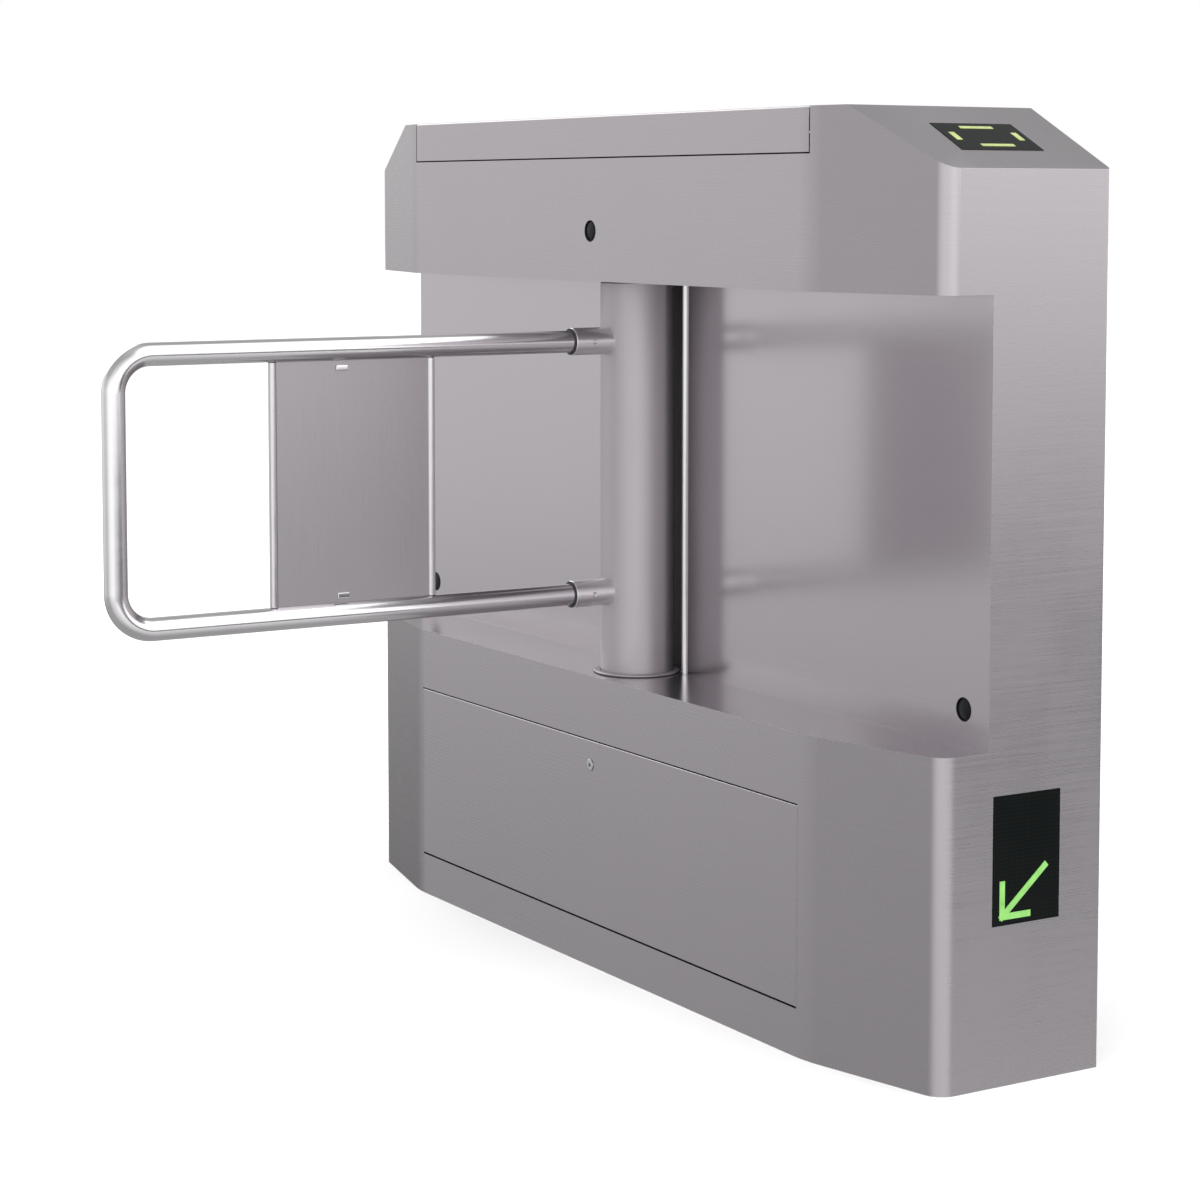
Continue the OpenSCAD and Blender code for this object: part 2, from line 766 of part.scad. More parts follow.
// Flat bar between two points of the YZ plane, on the outside of the near end's window
module arrow_stroke(from, to, w) {
    run = to - from;
    l = norm(run);
    translate([end_x + 0.5, arrow_y + from[0], arrow_z + from[1]])
        rotate([atan2(run[1], run[0]), 0, 0]) translate([0, -w / 2, -w / 2]) cube([0.6, l + w, w]);
}

// Lit arrow that points down towards the passage
module arrow_symbols() {
    tip = [-0.36 * arrow_w, -0.43 * arrow_h];
    tail = [0.27 * arrow_w, -0.08 * arrow_h];
    head = 0.25 * arrow_h;
    stroke_w = 6.5;
    color("lightgreen") at_both_ends() union() {
        arrow_stroke(tip, tail, stroke_w);
        arrow_stroke(tip, tip + [0, head], stroke_w);
        arrow_stroke(tip, tip + [head, 0], stroke_w);
    }
}

// Lamp boards behind the direction displays
module arrow_boards() {
    color("darkgreen") at_both_ends() union() {
        span([end_x - sheet - 12, arrow_y - arrow_w / 2 - 6, arrow_z - arrow_h / 2 - 8],
            [end_x - sheet - 10, arrow_y + arrow_w / 2 + 6, arrow_z + arrow_h / 2 + 8]);
        for (dy = [-arrow_w / 2 - 3, arrow_w / 2 + 3], dz = [-arrow_h / 2 - 4, arrow_h / 2 + 4])
            translate([end_x - sheet - 10 - eps, arrow_y + dy, arrow_z + dz]) rotate([0, 90, 0])
                cylinder(r = 2.5, h = 10 + eps);
    }
}

// Smoked windows of the status displays
module status_windows() {
    color([0.05, 0.06, 0.06]) at_both_ends() on_slope()
        translate([0, 0, -1.5]) cube([status_l - 0.2, status_w - 0.2, 4], center = true);
}

// Four lit bars that form a ring on each status display
module status_bars() {
    color("yellowgreen") at_both_ends() on_slope() translate([0, 0, 0.5]) {
        for (side = [-1, 1]) {
            span([side * 0.33 * status_l - 2.5, -0.2 * status_w, 0], [side * 0.33 * status_l + 2.5,
                0.2 * status_w, 0.6]);
            span([-0.14 * status_l, side * 0.38 * status_w - 3.5, 0], [0.14 * status_l,
                side * 0.38 * status_w + 3.5, 0.6]);
        }
    }
}

// Lamp boards under the status displays
module status_boards() {
    color("darkgreen") at_both_ends() on_slope() union() {
        translate([0, 0, -12]) cube([status_l + 12, status_w + 12, 2], center = true);
        for (dx = [-status_l / 2 - 3, status_l / 2 + 3], dy = [-status_w / 2 - 3, status_w / 2 + 3])
            translate([dx, dy, -11 - eps]) cylinder(r = 2.5, h = 11 - sheet + eps);
    }
}

// Round sensor along +Y from its lens at y: lens, threaded barrel and nut
module sensor(x, y, z) {
    color([0.02, 0.02, 0.02]) union() {
        rod_y(lens_d / 2, x, y + 0.3, y + sensor_l, z);
        rod_y(lens_d / 2 + 5, x, y + sheet, y + sheet + 5, z);
    }
}

module fascia_sensor() {
    sensor(0, front_y, soffit_z + fascia_sensor_rise);
}

module wall_sensors() {
    for (side = [-1, 1]) sensor(side * (end_x - wall_sensor_set), wall_y, deck_z + wall_sensor_rise);
}

// ---- Turning column and arm ----

// Tube of the column
module swing_column() {
    color("lightgray") difference() {
        post(column_r, deck_z + column_gap, soffit_z - column_gap);
        post(column_r - column_wall, deck_z, soffit_z);
    }
}

// Discs that close the column and hold it on the shaft
module column_caps() {
    color("gray") for (z = [deck_z + column_gap, soffit_z - column_gap - plate_t]) difference() {
        post(column_r - column_wall, z, z + plate_t);
        post(shaft_r, z - 1, z + plate_t + 1);
    }
}

// Shaft through the column, from the brake to the position disc
module main_shaft() {
    color("gainsboro") post(shaft_r, shaft_low_z, shaft_top_z);
}

// Sockets welded to the column
module arm_sockets() {
    color("white") for (z = [arm_low_z, arm_high_z]) difference() {
        rod_y(socket_d / 2, 0, column_y - column_r - socket_l, column_y - column_r * 0.7, z);
        post(column_r, z - socket_d, z + socket_d);
        rod_y(tube_r, 0, column_y - column_r - socket_l - 1, column_y - column_r - socket_end, z);
        rod_x(socket_screw_r, socket_d, tube_r - 1 + socket_d / 2, column_y - column_r - socket_l / 2, z);
    }
}

// Quarter bend in the YZ plane that joins a level run at height z to the upright leg; up is 1 or -1
module arm_corner(r, z, up) {
    translate([0, column_y - leg_y + arm_bend_r, z - up * arm_bend_r]) rotate([0, -90 * up, 180])
        rotate_extrude(angle = 90) translate([arm_bend_r, 0]) circle(r = r);
}

// Rod of radius r along the whole arm, from a start beside the column
module arm_path(r, start_y) {
    for (z = [arm_low_z, arm_high_z]) rod_y(r, 0, column_y - leg_y + arm_bend_r, start_y, z);
    translate([0, column_y - leg_y, arm_low_z + arm_bend_r])
        cylinder(r = r, h = arm_high_z - arm_low_z - 2 * arm_bend_r);
    arm_corner(r, arm_high_z, 1);
    arm_corner(r, arm_low_z, -1);
}

// U-shaped tube of the arm
module arm_tube() {
    start_y = column_y - column_r - socket_end;
    color("white") difference() {
        arm_path(tube_r, start_y);
        arm_path(tube_r - tube_wall, start_y + 1);
    }
}

// Set screws of the sockets
module socket_screws() {
    l = socket_d / 2 - tube_r + 1;
    color("dimgray") for (z = [arm_low_z, arm_high_z])
        rod_x(socket_screw_r, l, tube_r + l / 2, column_y - column_r - socket_l / 2, z);
}

// Sheet panel between the tubes
module arm_panel() {
    y1 = column_y - panel_near - channel_w / 2;
    color("silver") span([-panel_t / 2, y1 - panel_w + channel_w, arm_low_z + tube_r],
        [panel_t / 2, y1, arm_high_z - tube_r]);
}

// Round channels along the panel's upright edges, slotted for the sheet; side points into the panel
module panel_channels() {
    near_y = column_y - panel_near - channel_w / 2;
    color("white") for (edge = [[near_y, -1], [near_y - panel_w + channel_w, 1]]) difference() {
        translate([0, edge[0], arm_low_z + tube_r])
            cylinder(d = channel_w, h = arm_high_z - arm_low_z - tube_d);
        translate([-panel_t / 2, edge[0] - (edge[1] < 0 ? channel_w : 0), arm_low_z])
            cube([panel_t, channel_w, arm_high_z - arm_low_z]);
    }
}

// Small clips that hold the panel to the tubes
module panel_clips() {
    clip = [3, 14, 6];
    y = column_y - panel_near - panel_w / 2 - clip[1];
    color("white") for (z = [arm_low_z + tube_r + 8, arm_high_z - tube_r - 8], side = [-1, 1])
        translate([side * (panel_t + clip[0]) / 2, y, z]) cube(clip, center = true);
}

// ---- Gears, disc and stop on the main shaft ----

// Involute of an angle, in degrees
function inv(a) = tan(a) * 180 / PI - a;

// Half the angle that a tooth spans at radius r, thinned for backlash
function tooth_half(teeth, r) =
    let (pitch_r = gear_m * teeth / 2, base_r = pitch_r * cos(pressure_angle))
    90 / teeth - backlash / pitch_r * 180 / PI + inv(pressure_angle) - inv(acos(min(1, base_r / r)));

// Spur gear round the Z axis, with a tooth along the angle start
module spur_gear(teeth, start, h) {
    pitch_r = gear_m * teeth / 2;
    base_r = pitch_r * cos(pressure_angle);
    root_r = pitch_r - 1.25 * gear_m;
    tip_r = pitch_r + gear_m;
    radii = concat([root_r], [for (i = [0:4]) max(base_r, root_r) + (tip_r - max(base_r, root_r)) * i / 4]);
    steps = len(radii) - 1;
    linear_extrude(h) polygon([for (i = [0:teeth - 1], k = [0:2 * steps + 1])
        let (r = radii[k <= steps ? k : 2 * steps + 1 - k], side = k <= steps ? -1 : 1,
            a = start + 360 * i / teeth + side * tooth_half(teeth, max(r, base_r)))
        [r * cos(a), r * sin(a)]]);
}

// Gear on the main shaft
module drive_wheel() {
    color("darkgray") translate([0, column_y, wheel_z]) difference() {
        union() {
            spur_gear(wheel_teeth, 0, gear_h);
            cylinder(r = shaft_r + 9, h = gear_h + wheel_hub_h);
        }
        translate([0, 0, -1]) cylinder(r = shaft_r, h = gear_h + wheel_hub_h + 2);
        for (a = [30:60:330]) rotate(a) translate([(gear_m * wheel_teeth / 2 + shaft_r + 6) / 2, 0, -1])
            cylinder(r = 5, h = gear_h + 2);
    }
}

// Notched disc that the position sensors read
module position_disc() {
    color("gold") translate([0, column_y, disc_z]) difference() {
        union() {
            cylinder(r = shaft_r + 6, h = disc_rise);
            translate([0, 0, disc_rise]) cylinder(r = disc_r, h = disc_h);
        }
        translate([0, 0, -1]) cylinder(r = shaft_r, h = disc_rise + disc_h + 2);
        for (a = [0, 90, 180, 270]) rotate(a) translate([disc_r - 4, -3, disc_rise - 1]) cube([8, 6, disc_h + 2]);
    }
}

// Lever that meets the stop blocks, and the brake's rotor below it
module stop_lever() {
    color("dimgray") translate([0, column_y, 0]) difference() {
        union() {
            translate([0, 0, rotor_z]) cylinder(r = brake_r - 3, h = rotor_h);
            translate([0, 0, rotor_z]) cylinder(r = shaft_r + 5, h = stop_z - rotor_z + stop_h);
            translate([-stop_reach + stop_w / 2, -stop_w / 2, stop_z]) cube([stop_reach - stop_w / 2, stop_w, stop_h]);
            translate([-stop_reach + stop_w / 2, 0, stop_z]) cylinder(d = stop_w, h = stop_h);
        }
        translate([0, 0, rotor_z - 1]) cylinder(r = shaft_r, h = stop_z - rotor_z + stop_h + 2);
    }
}

// Pinion on the gearbox's output shaft
module drive_pinion() {
    gap_start = pinion_teeth % 2 == 0 ? 180 / pinion_teeth : 0;
    color("gray") union() {
        translate([pinion_x, column_y, wheel_z - 1]) spur_gear(pinion_teeth, 180 + gap_start, gear_h + 2);
        post(motor_shaft_d / 2, wheel_z - 3, bracket_z + 20, pinion_x);
    }
}

// ---- Lid and access door ----

// Roof sheet with its front skirt, rear flange and hinge leaves
module top_lid() {
    leaf_w = hinge_w / 3 - 2 * snug;
    color("silver") difference() {
        union() {
            within_outline(seam_z, cabinet_h) union() {
                span([-lid_x, front_y, cabinet_h - sheet], [lid_x, back_y, cabinet_h]);
                intersection() {
                    wrap(seam_z + seam, cabinet_h);
                    span([-lid_x, front_y - 1, seam_z], [lid_x, 0, cabinet_h + 1]);
                }
                span([-lid_x, back_y - sheet, cabinet_h - lid_flange_h], [lid_x, back_y, cabinet_h]);
                for (side = [-1, 1])
                    span([side * (lid_x - sheet / 2) - sheet / 2, front_y, cabinet_h - lid_end_h],
                        [side * (lid_x - sheet / 2) + sheet / 2, back_y, cabinet_h]);
            }
            for (x = lid_hinge_xs) {
                span([x - leaf_w / 2, back_y - eps, lid_pin_z], [x + leaf_w / 2, back_y + 2, cabinet_h - 2]);
                rod_x(lid_barrel_r, leaf_w, x, lid_pin_y, lid_pin_z);
            }
        }
        for (x = lid_hinge_xs) rod_x(lid_pin_r + run_clear, hinge_w, x, lid_pin_y, lid_pin_z);
    }
}

// Door pan with folded edges, hinge knuckles and the body of its lock
module access_door() {
    x1 = door_x - seam;
    z0 = door_z + seam;
    z1 = door_top_z - seam;
    fold_y = front_y + fold_d - 2;
    color("silver") difference() {
        union() {
            difference() {
                within_outline(0, deck_z) span([-x1, front_y, z0], [x1, fold_y, z1]);
                span([-x1 + sheet, front_y + sheet, z0 + sheet], [x1 - sheet, fold_y + 1, z1 - sheet]);
            }
            for (x = door_hinge_xs) {
                rod_x(knuckle_r, 20, x, door_pin_y, door_pin_z);
                span([x - 10, front_y + sheet - eps, door_pin_z - knuckle_r], [x + 10, door_pin_y,
                    door_pin_z + knuckle_r]);
            }
            rod_y(lock_d / 2 + 3, 0, front_y + sheet - eps, front_y + fold_d - 1, lock_z);
        }
        for (x = door_hinge_xs) {
            rod_x(door_pin_r + run_clear, 40, x, door_pin_y, door_pin_z);
            for (dx = [-17.5, 10.5]) span([x + dx, front_y + sheet, z0 - 1], [x + dx + 7, fold_y + 1, z0 + sheet + 1]);
        }
        rod_y(lock_d / 2 - 2 + run_clear, 0, front_y - 1, front_y + fold_d, lock_z);
    }
}

// Barrel of the door's lock with its key slot and the cam behind, drawn unlocked
module door_lock() {
    cam_y = front_y + fold_d + 0.6;
    color("gainsboro") difference() {
        union() {
            rod_y(lock_d / 2 - 2, 0, front_y, cam_y + 2.5, lock_z);
            rod_y(lock_d / 2, 0, front_y - 1.2, front_y - 0.3, lock_z);
            rod_y(lock_d / 2 - 2, 0, front_y - 0.3 - eps, front_y + eps, lock_z);
            span([-7, cam_y, lock_z - 7], [lock_drop + 8, cam_y + 2.5, lock_z + 7]);
        }
        span([-0.6, front_y - 2, lock_z - 3], [0.6, front_y + 3, lock_z + 3]);
    }
}

base_plate();
cable_grommet();
frame_posts();
frame_rails();
lower_shell();
deck_plate();
recess_wall();
spine_ends();
column_bay();
bay_trims();
soffit_plate();
upper_shell();
rear_panel();
rear_screws();
base_ring();
lower_bearing_plate();
lower_bearing_housing();
lower_bearing();
stop_blocks();
stop_buffers();
brake_body();
mechanism_plate();
upper_bearing_housing();
upper_bearing();
motor_bracket();
gearbox();
drive_motor();
sensor_bracket();
position_sensors();
equipment_plate();
power_supply();
control_board();
terminal_strip();
door_hinge_posts();
door_hinge_pins();
lid_hinge_leaves();
lid_hinge_pins();
arrow_windows();
arrow_symbols();
arrow_boards();
status_windows();
status_bars();
status_boards();
fascia_sensor();
wall_sensors();
swing_column();
column_caps();
main_shaft();
arm_sockets();
arm_tube();
socket_screws();
arm_panel();
panel_channels();
panel_clips();
drive_wheel();
position_disc();
stop_lever();
drive_pinion();
top_lid();
access_door();
door_lock();
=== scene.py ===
"""Looks of a bridge-type swing barrier: folded stainless casing, turning column and tubular arm.

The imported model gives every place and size. This file adds the folds, the finishes, the lit displays,
the studio and the camera.
"""
import json
import logging
import math
from dataclasses import dataclass, field
from enum import Enum
from typing import Callable, Iterable, Optional, Sequence

import bmesh
import bpy
from mathutils import Matrix, Vector


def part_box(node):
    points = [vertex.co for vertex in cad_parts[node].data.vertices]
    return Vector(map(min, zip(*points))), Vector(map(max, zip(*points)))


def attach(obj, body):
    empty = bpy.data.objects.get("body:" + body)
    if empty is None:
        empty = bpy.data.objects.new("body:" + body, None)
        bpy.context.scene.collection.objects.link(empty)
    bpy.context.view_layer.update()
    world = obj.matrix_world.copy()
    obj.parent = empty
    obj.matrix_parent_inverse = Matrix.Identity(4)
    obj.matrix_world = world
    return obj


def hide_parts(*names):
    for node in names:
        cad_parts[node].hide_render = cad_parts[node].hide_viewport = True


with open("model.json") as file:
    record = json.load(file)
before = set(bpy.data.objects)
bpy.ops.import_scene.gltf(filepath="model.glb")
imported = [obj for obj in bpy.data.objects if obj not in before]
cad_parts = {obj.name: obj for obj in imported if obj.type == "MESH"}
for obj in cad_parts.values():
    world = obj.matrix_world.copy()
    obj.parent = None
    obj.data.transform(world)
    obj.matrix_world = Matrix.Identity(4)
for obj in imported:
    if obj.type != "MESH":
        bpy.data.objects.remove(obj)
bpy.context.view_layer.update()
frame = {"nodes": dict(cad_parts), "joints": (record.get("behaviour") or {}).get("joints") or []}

LOG = logging.getLogger("barrier")
MM = 0.001
NEAR = 0.00005
Test = Callable[[Vector], bool]
Colour = tuple[float, float, float]
PieceMaterials = Sequence[bpy.types.Material]


class Body(Enum):
    """The moving bodies of the barrier."""

    CABINET = "cabinet"
    COLUMN = "column"
    PINION = "pinion"
    LID = "lid"
    DOOR = "door"
    LOCK = "door_lock"


class Grain(Enum):
    """Direction of the brush strokes: how fast the surface changes along X, Y and Z, in cycles per metre."""

    LEVEL = (7.0, 7.0, 1000.0)
    LENGTHWISE = (7.0, 1000.0, 60.0)
    UPRIGHT = (1000.0, 1000.0, 7.0)
    TURNED = (60.0, 60.0, 1400.0)
    NONE = (160.0, 160.0, 160.0)


class Around(Enum):
    """Axis that a turned piece is spun around."""

    X = (1.0, 0.0, 0.0)
    Y = (0.0, 1.0, 0.0)
    Z = (0.0, 0.0, 1.0)


# ---- Finishes ----


@dataclass
class Nodes:
    """A new material with its shader, and short ways to add the nodes that feed it."""

    name: str
    material: bpy.types.Material = field(init=False)
    shader: bpy.types.ShaderNode = field(init=False)
    tree: bpy.types.NodeTree = field(init=False)

    def __post_init__(self) -> None:
        """Start the material with an empty Principled shader."""
        self.material = bpy.data.materials.new(self.name)
        self.material.use_nodes = True
        self.tree = self.material.node_tree
        self.shader = self.tree.nodes["Principled BSDF"]

    def add(self, kind: str, **values: object) -> bpy.types.ShaderNode:
        """Add a node.

        Args:
            kind: Blender's name of the node type.
            values: Attributes to set on it.

        Returns:
            The new node.
        """
        node = self.tree.nodes.new(kind)
        for key, value in values.items():
            setattr(node, key, value)
        return node

    def link(self, source: bpy.types.NodeSocket, target: bpy.types.NodeSocket) -> None:
        """Join two sockets."""
        self.tree.links.new(source, target)

    def place(self, stretch: Sequence[float]) -> bpy.types.NodeSocket:
        """Coordinates of the piece in metres, stretched along each axis."""
        coords = self.add("ShaderNodeTexCoord")
        mapping = self.add("ShaderNodeMapping")
        mapping.inputs["Scale"].default_value = tuple(stretch)
        self.link(coords.outputs["Object"], mapping.inputs["Vector"])
        return mapping.outputs["Vector"]

    def noise(self, stretch: Sequence[float], detail: float = 2.0, rough: float = 0.5) -> bpy.types.NodeSocket:
        """Noise between 0 and 1.

        Args:
            stretch: Cycles per metre along each axis.
            detail: Octaves of finer noise.
            rough: Share of the finer octaves.

        Returns:
            The noise's value.
        """
        node = self.add("ShaderNodeTexNoise")
        node.inputs["Scale"].default_value = 1.0
        node.inputs["Detail"].default_value = detail
        node.inputs["Roughness"].default_value = rough
        self.link(self.place(stretch), node.inputs["Vector"])
        return node.outputs["Fac"]

    def maths(self, operation: str, a: object, b: object, clamp: bool = False) -> bpy.types.NodeSocket:
        """One step of arithmetic on sockets or numbers."""
        node = self.add("ShaderNodeMath", operation=operation, use_clamp=clamp)
        for socket, value in zip(node.inputs, (a, b)):
            if isinstance(value, bpy.types.NodeSocket):
                self.link(value, socket)
            else:
                socket.default_value = value
        return node.outputs[0]

    def spread(self, value: bpy.types.NodeSocket, low: float, high: float,
               start: float = 0.25, end: float = 0.75) -> bpy.types.NodeSocket:
        """Map a value from one range to another, clamped."""
        node = self.add("ShaderNodeMapRange")
        node.inputs["From Min"].default_value = start
        node.inputs["From Max"].default_value = end
        node.inputs["To Min"].default_value = low
        node.inputs["To Max"].default_value = high
        self.link(value, node.inputs["Value"])
        return node.outputs["Result"]

    def blend(self, share: bpy.types.NodeSocket, a: Colour, b: Colour) -> bpy.types.NodeSocket:
        """Colour between a and b by a share from 0 to 1."""
        node = self.add("ShaderNodeMix", data_type="RGBA")
        node.inputs["A"].default_value = (*a, 1.0)
        node.inputs["B"].default_value = (*b, 1.0)
        # The colour sockets are the third pair of the Mix node.
        colours = [s for s in node.inputs if s.type == "RGBA"]
        colours[0].default_value = (*a, 1.0)
        colours[1].default_value = (*b, 1.0)
        self.link(share, node.inputs["Factor"])
        return next(s for s in node.outputs if s.type == "RGBA")

    def bump(self, height: bpy.types.NodeSocket, depth: float, strength: float = 1.0) -> None:
        """Raise the surface by height times depth, in metres."""
        node = self.add("ShaderNodeBump")
        node.inputs["Strength"].default_value = strength
        node.inputs["Distance"].default_value = depth
        self.link(height, node.inputs["Height"])
        self.link(node.outputs["Normal"], self.shader.inputs["Normal"])

    def set(self, **values: object) -> None:
        """Set constants on the shader's own sockets; an underscore stands for a space."""
        for key, value in values.items():
            self.shader.inputs[key.replace("_", " ")].default_value = value


@dataclass(frozen=True)
class BrushedSteel:
    """Stainless sheet or tube with brush strokes, faint cloudiness from rolling and handling marks."""

    name: str
    colour: Colour = (0.415, 0.39, 0.412)
    roughness: float = 0.28
    grain: Grain = Grain.LEVEL
    contrast: float = 0.018
    cloud: float = 0.025
    depth: float = 0.0000007
    anisotropic: float = 0.4
    metallic: float = 1.0

    def material(self) -> bpy.types.Material:
        """Build the material."""
        nodes = Nodes(self.name)
        fine = nodes.noise(self.grain.value, detail=3.0, rough=0.65)
        broad = nodes.noise([v * 0.3 for v in self.grain.value], detail=1.0)
        cloud = nodes.noise((5.0, 5.0, 4.0), detail=3.0, rough=0.55)
        strokes = nodes.maths("ADD", nodes.maths("MULTIPLY", fine, 0.65), nodes.maths("MULTIPLY", broad, 0.35))
        dark = tuple(c * (1.0 - self.contrast) for c in self.colour)
        light = tuple(min(1.0, c * (1.0 + self.contrast)) for c in self.colour)
        shade = nodes.maths("ADD", nodes.spread(strokes, 0.0, 0.7), nodes.spread(cloud, 0.0, 0.3))
        nodes.link(nodes.blend(shade, dark, light), nodes.shader.inputs["Base Color"])
        rough = nodes.maths("ADD", nodes.spread(fine, -0.03, 0.03), nodes.spread(cloud, -self.cloud, self.cloud))
        nodes.link(nodes.maths("ADD", rough, self.roughness, clamp=True), nodes.shader.inputs["Roughness"])
        nodes.bump(strokes, self.depth)
        nodes.set(Metallic=self.metallic, Anisotropic=self.anisotropic, Anisotropic_Rotation=0.25)
        tangent = nodes.add("ShaderNodeTangent", direction_type="RADIAL", axis="Z")
        nodes.link(tangent.outputs["Tangent"], nodes.shader.inputs["Tangent"])
        return nodes.material


@dataclass(frozen=True)
class PolishedSteel:
    """Polished stainless with fine haze and faint drawing lines."""

    name: str
    colour: Colour = (0.73, 0.715, 0.73)
    roughness: float = 0.17
    lines: Colour = (700.0, 6.0, 700.0)

    def material(self) -> bpy.types.Material:
        """Build the material."""
        nodes = Nodes(self.name)
        haze = nodes.noise((40.0, 12.0, 40.0), detail=3.0)
        lines = nodes.noise(self.lines, detail=2.0)
        dark = tuple(c * 0.95 for c in self.colour)
        nodes.link(nodes.blend(nodes.spread(haze, 0.0, 1.0), dark, self.colour), nodes.shader.inputs["Base Color"])
        rough = nodes.maths("ADD", nodes.spread(haze, -0.02, 0.03), nodes.spread(lines, -0.01, 0.01))
        nodes.link(nodes.maths("ADD", rough, self.roughness, clamp=True), nodes.shader.inputs["Roughness"])
        nodes.bump(haze, 0.000004)
        nodes.set(Metallic=1.0)
        return nodes.material


@dataclass(frozen=True)
class WorkshopMetal:
    """Machined, cast or zinc-plated metal of the inner parts."""

    name: str
    colour: Colour
    roughness: float = 0.4
    grain: Grain = Grain.TURNED
    contrast: float = 0.12
    metallic: float = 1.0

    def material(self) -> bpy.types.Material:
        """Build the material."""
        nodes = Nodes(self.name)
        marks = nodes.noise(self.grain.value, detail=3.0)
        patches = nodes.noise((22.0, 22.0, 22.0), detail=4.0, rough=0.6)
        dark = tuple(c * (1.0 - self.contrast) for c in self.colour)
        light = tuple(min(1.0, c * (1.0 + self.contrast)) for c in self.colour)
        shade = nodes.maths("ADD", nodes.spread(marks, 0.0, 0.4), nodes.spread(patches, 0.0, 0.6))
        nodes.link(nodes.blend(shade, dark, light), nodes.shader.inputs["Base Color"])
        rough = nodes.maths("ADD", nodes.spread(patches, -0.08, 0.08), self.roughness, clamp=True)
        nodes.link(rough, nodes.shader.inputs["Roughness"])
        nodes.bump(marks, 0.00003)
        nodes.set(Metallic=self.metallic)
        return nodes.material


@dataclass(frozen=True)
class Moulded:
    """Rubber, plastic, enamel or powder coat with a fine texture."""

    name: str
    colour: Colour
    roughness: float = 0.5
    pitch: float = 900.0
    depth: float = 0.00004
    shine: float = 0.5
    coat: float = 0.0

    def material(self) -> bpy.types.Material:
        """Build the material."""
        nodes = Nodes(self.name)
        skin = nodes.noise((self.pitch,) * 3, detail=2.0)
        patches = nodes.noise((30.0, 30.0, 30.0), detail=3.0)
        dark = tuple(c * 0.82 for c in self.colour)
        light = tuple(min(1.0, c * 1.15 + 0.002) for c in self.colour)
        nodes.link(nodes.blend(nodes.spread(patches, 0.0, 1.0), dark, light), nodes.shader.inputs["Base Color"])
        rough = nodes.maths("ADD", nodes.spread(patches, -0.05, 0.07), self.roughness, clamp=True)
        nodes.link(rough, nodes.shader.inputs["Roughness"])
        nodes.bump(skin, self.depth)
        nodes.set(Specular_IOR_Level=self.shine, Coat_Weight=self.coat, Coat_Roughness=0.08)
        return nodes.material


@dataclass(frozen=True)
class SmokedWindow:
    """Dark acrylic with the faint grid of unlit lamps behind it."""

    name: str
    pitch: float = 0.004

    def material(self) -> bpy.types.Material:
        """Build the material."""
        nodes = Nodes(self.name)
        cells = nodes.add("ShaderNodeTexVoronoi", feature="F1")
        cells.inputs["Scale"].default_value = 1.0
        cells.inputs["Randomness"].default_value = 0.0
        nodes.link(nodes.place((1.0 / self.pitch,) * 3), cells.inputs["Vector"])
        lamp = nodes.spread(cells.outputs["Distance"], 1.0, 0.0, 0.28, 0.4)
        nodes.link(nodes.blend(lamp, (0.0045, 0.0055, 0.0055), (0.0065, 0.0085, 0.0080)),
                   nodes.shader.inputs["Base Color"])
        smears = nodes.noise((20.0, 20.0, 20.0), detail=3.0)
        nodes.link(nodes.spread(smears, 0.10, 0.2), nodes.shader.inputs["Roughness"])
        nodes.set(Specular_IOR_Level=0.08)
        return nodes.material


@dataclass(frozen=True)
class LitLens:
    """Lens lit from behind, its glow varying softly with noise."""

    name: str
    colour: Colour
    glow: float = 0.8

    def material(self) -> bpy.types.Material:
        """Build the material."""
        nodes = Nodes(self.name)
        flow = nodes.noise((90.0, 90.0, 90.0), detail=2.0)
        dim = tuple(c * 0.8 for c in self.colour)
        lit = nodes.blend(nodes.spread(flow, 0.0, 1.0), dim, self.colour)
        nodes.link(lit, nodes.shader.inputs["Base Color"])
        nodes.link(lit, nodes.shader.inputs["Emission Color"])
        nodes.link(nodes.spread(flow, 0.25, 0.4), nodes.shader.inputs["Roughness"])
        nodes.set(Emission_Strength=self.glow)
        return nodes.material


@dataclass(frozen=True)
class CircuitBoard:
    """Solder-masked laminate with copper tracks under the mask."""

    name: str
    mask: Colour = (0.012, 0.085, 0.035)
    track: Colour = (0.03, 0.16, 0.06)

    def material(self) -> bpy.types.Material:
        """Build the material."""
        nodes = Nodes(self.name)
        bricks = nodes.add("ShaderNodeTexBrick", offset=0.37, squash=0.6)
        for key, value in (("Scale", 1.0), ("Mortar Size", 0.12), ("Brick Width", 1.6), ("Row Height", 0.45)):
            bricks.inputs[key].default_value = value
        nodes.link(nodes.place((160.0, 160.0, 160.0)), bricks.inputs["Vector"])
        nodes.link(nodes.blend(bricks.outputs["Fac"], self.mask, self.track), nodes.shader.inputs["Base Color"])
        dust = nodes.noise((60.0, 60.0, 60.0), detail=3.0)
        nodes.link(nodes.spread(dust, 0.22, 0.4), nodes.shader.inputs["Roughness"])
        nodes.bump(bricks.outputs["Fac"], 0.00003)
        return nodes.material


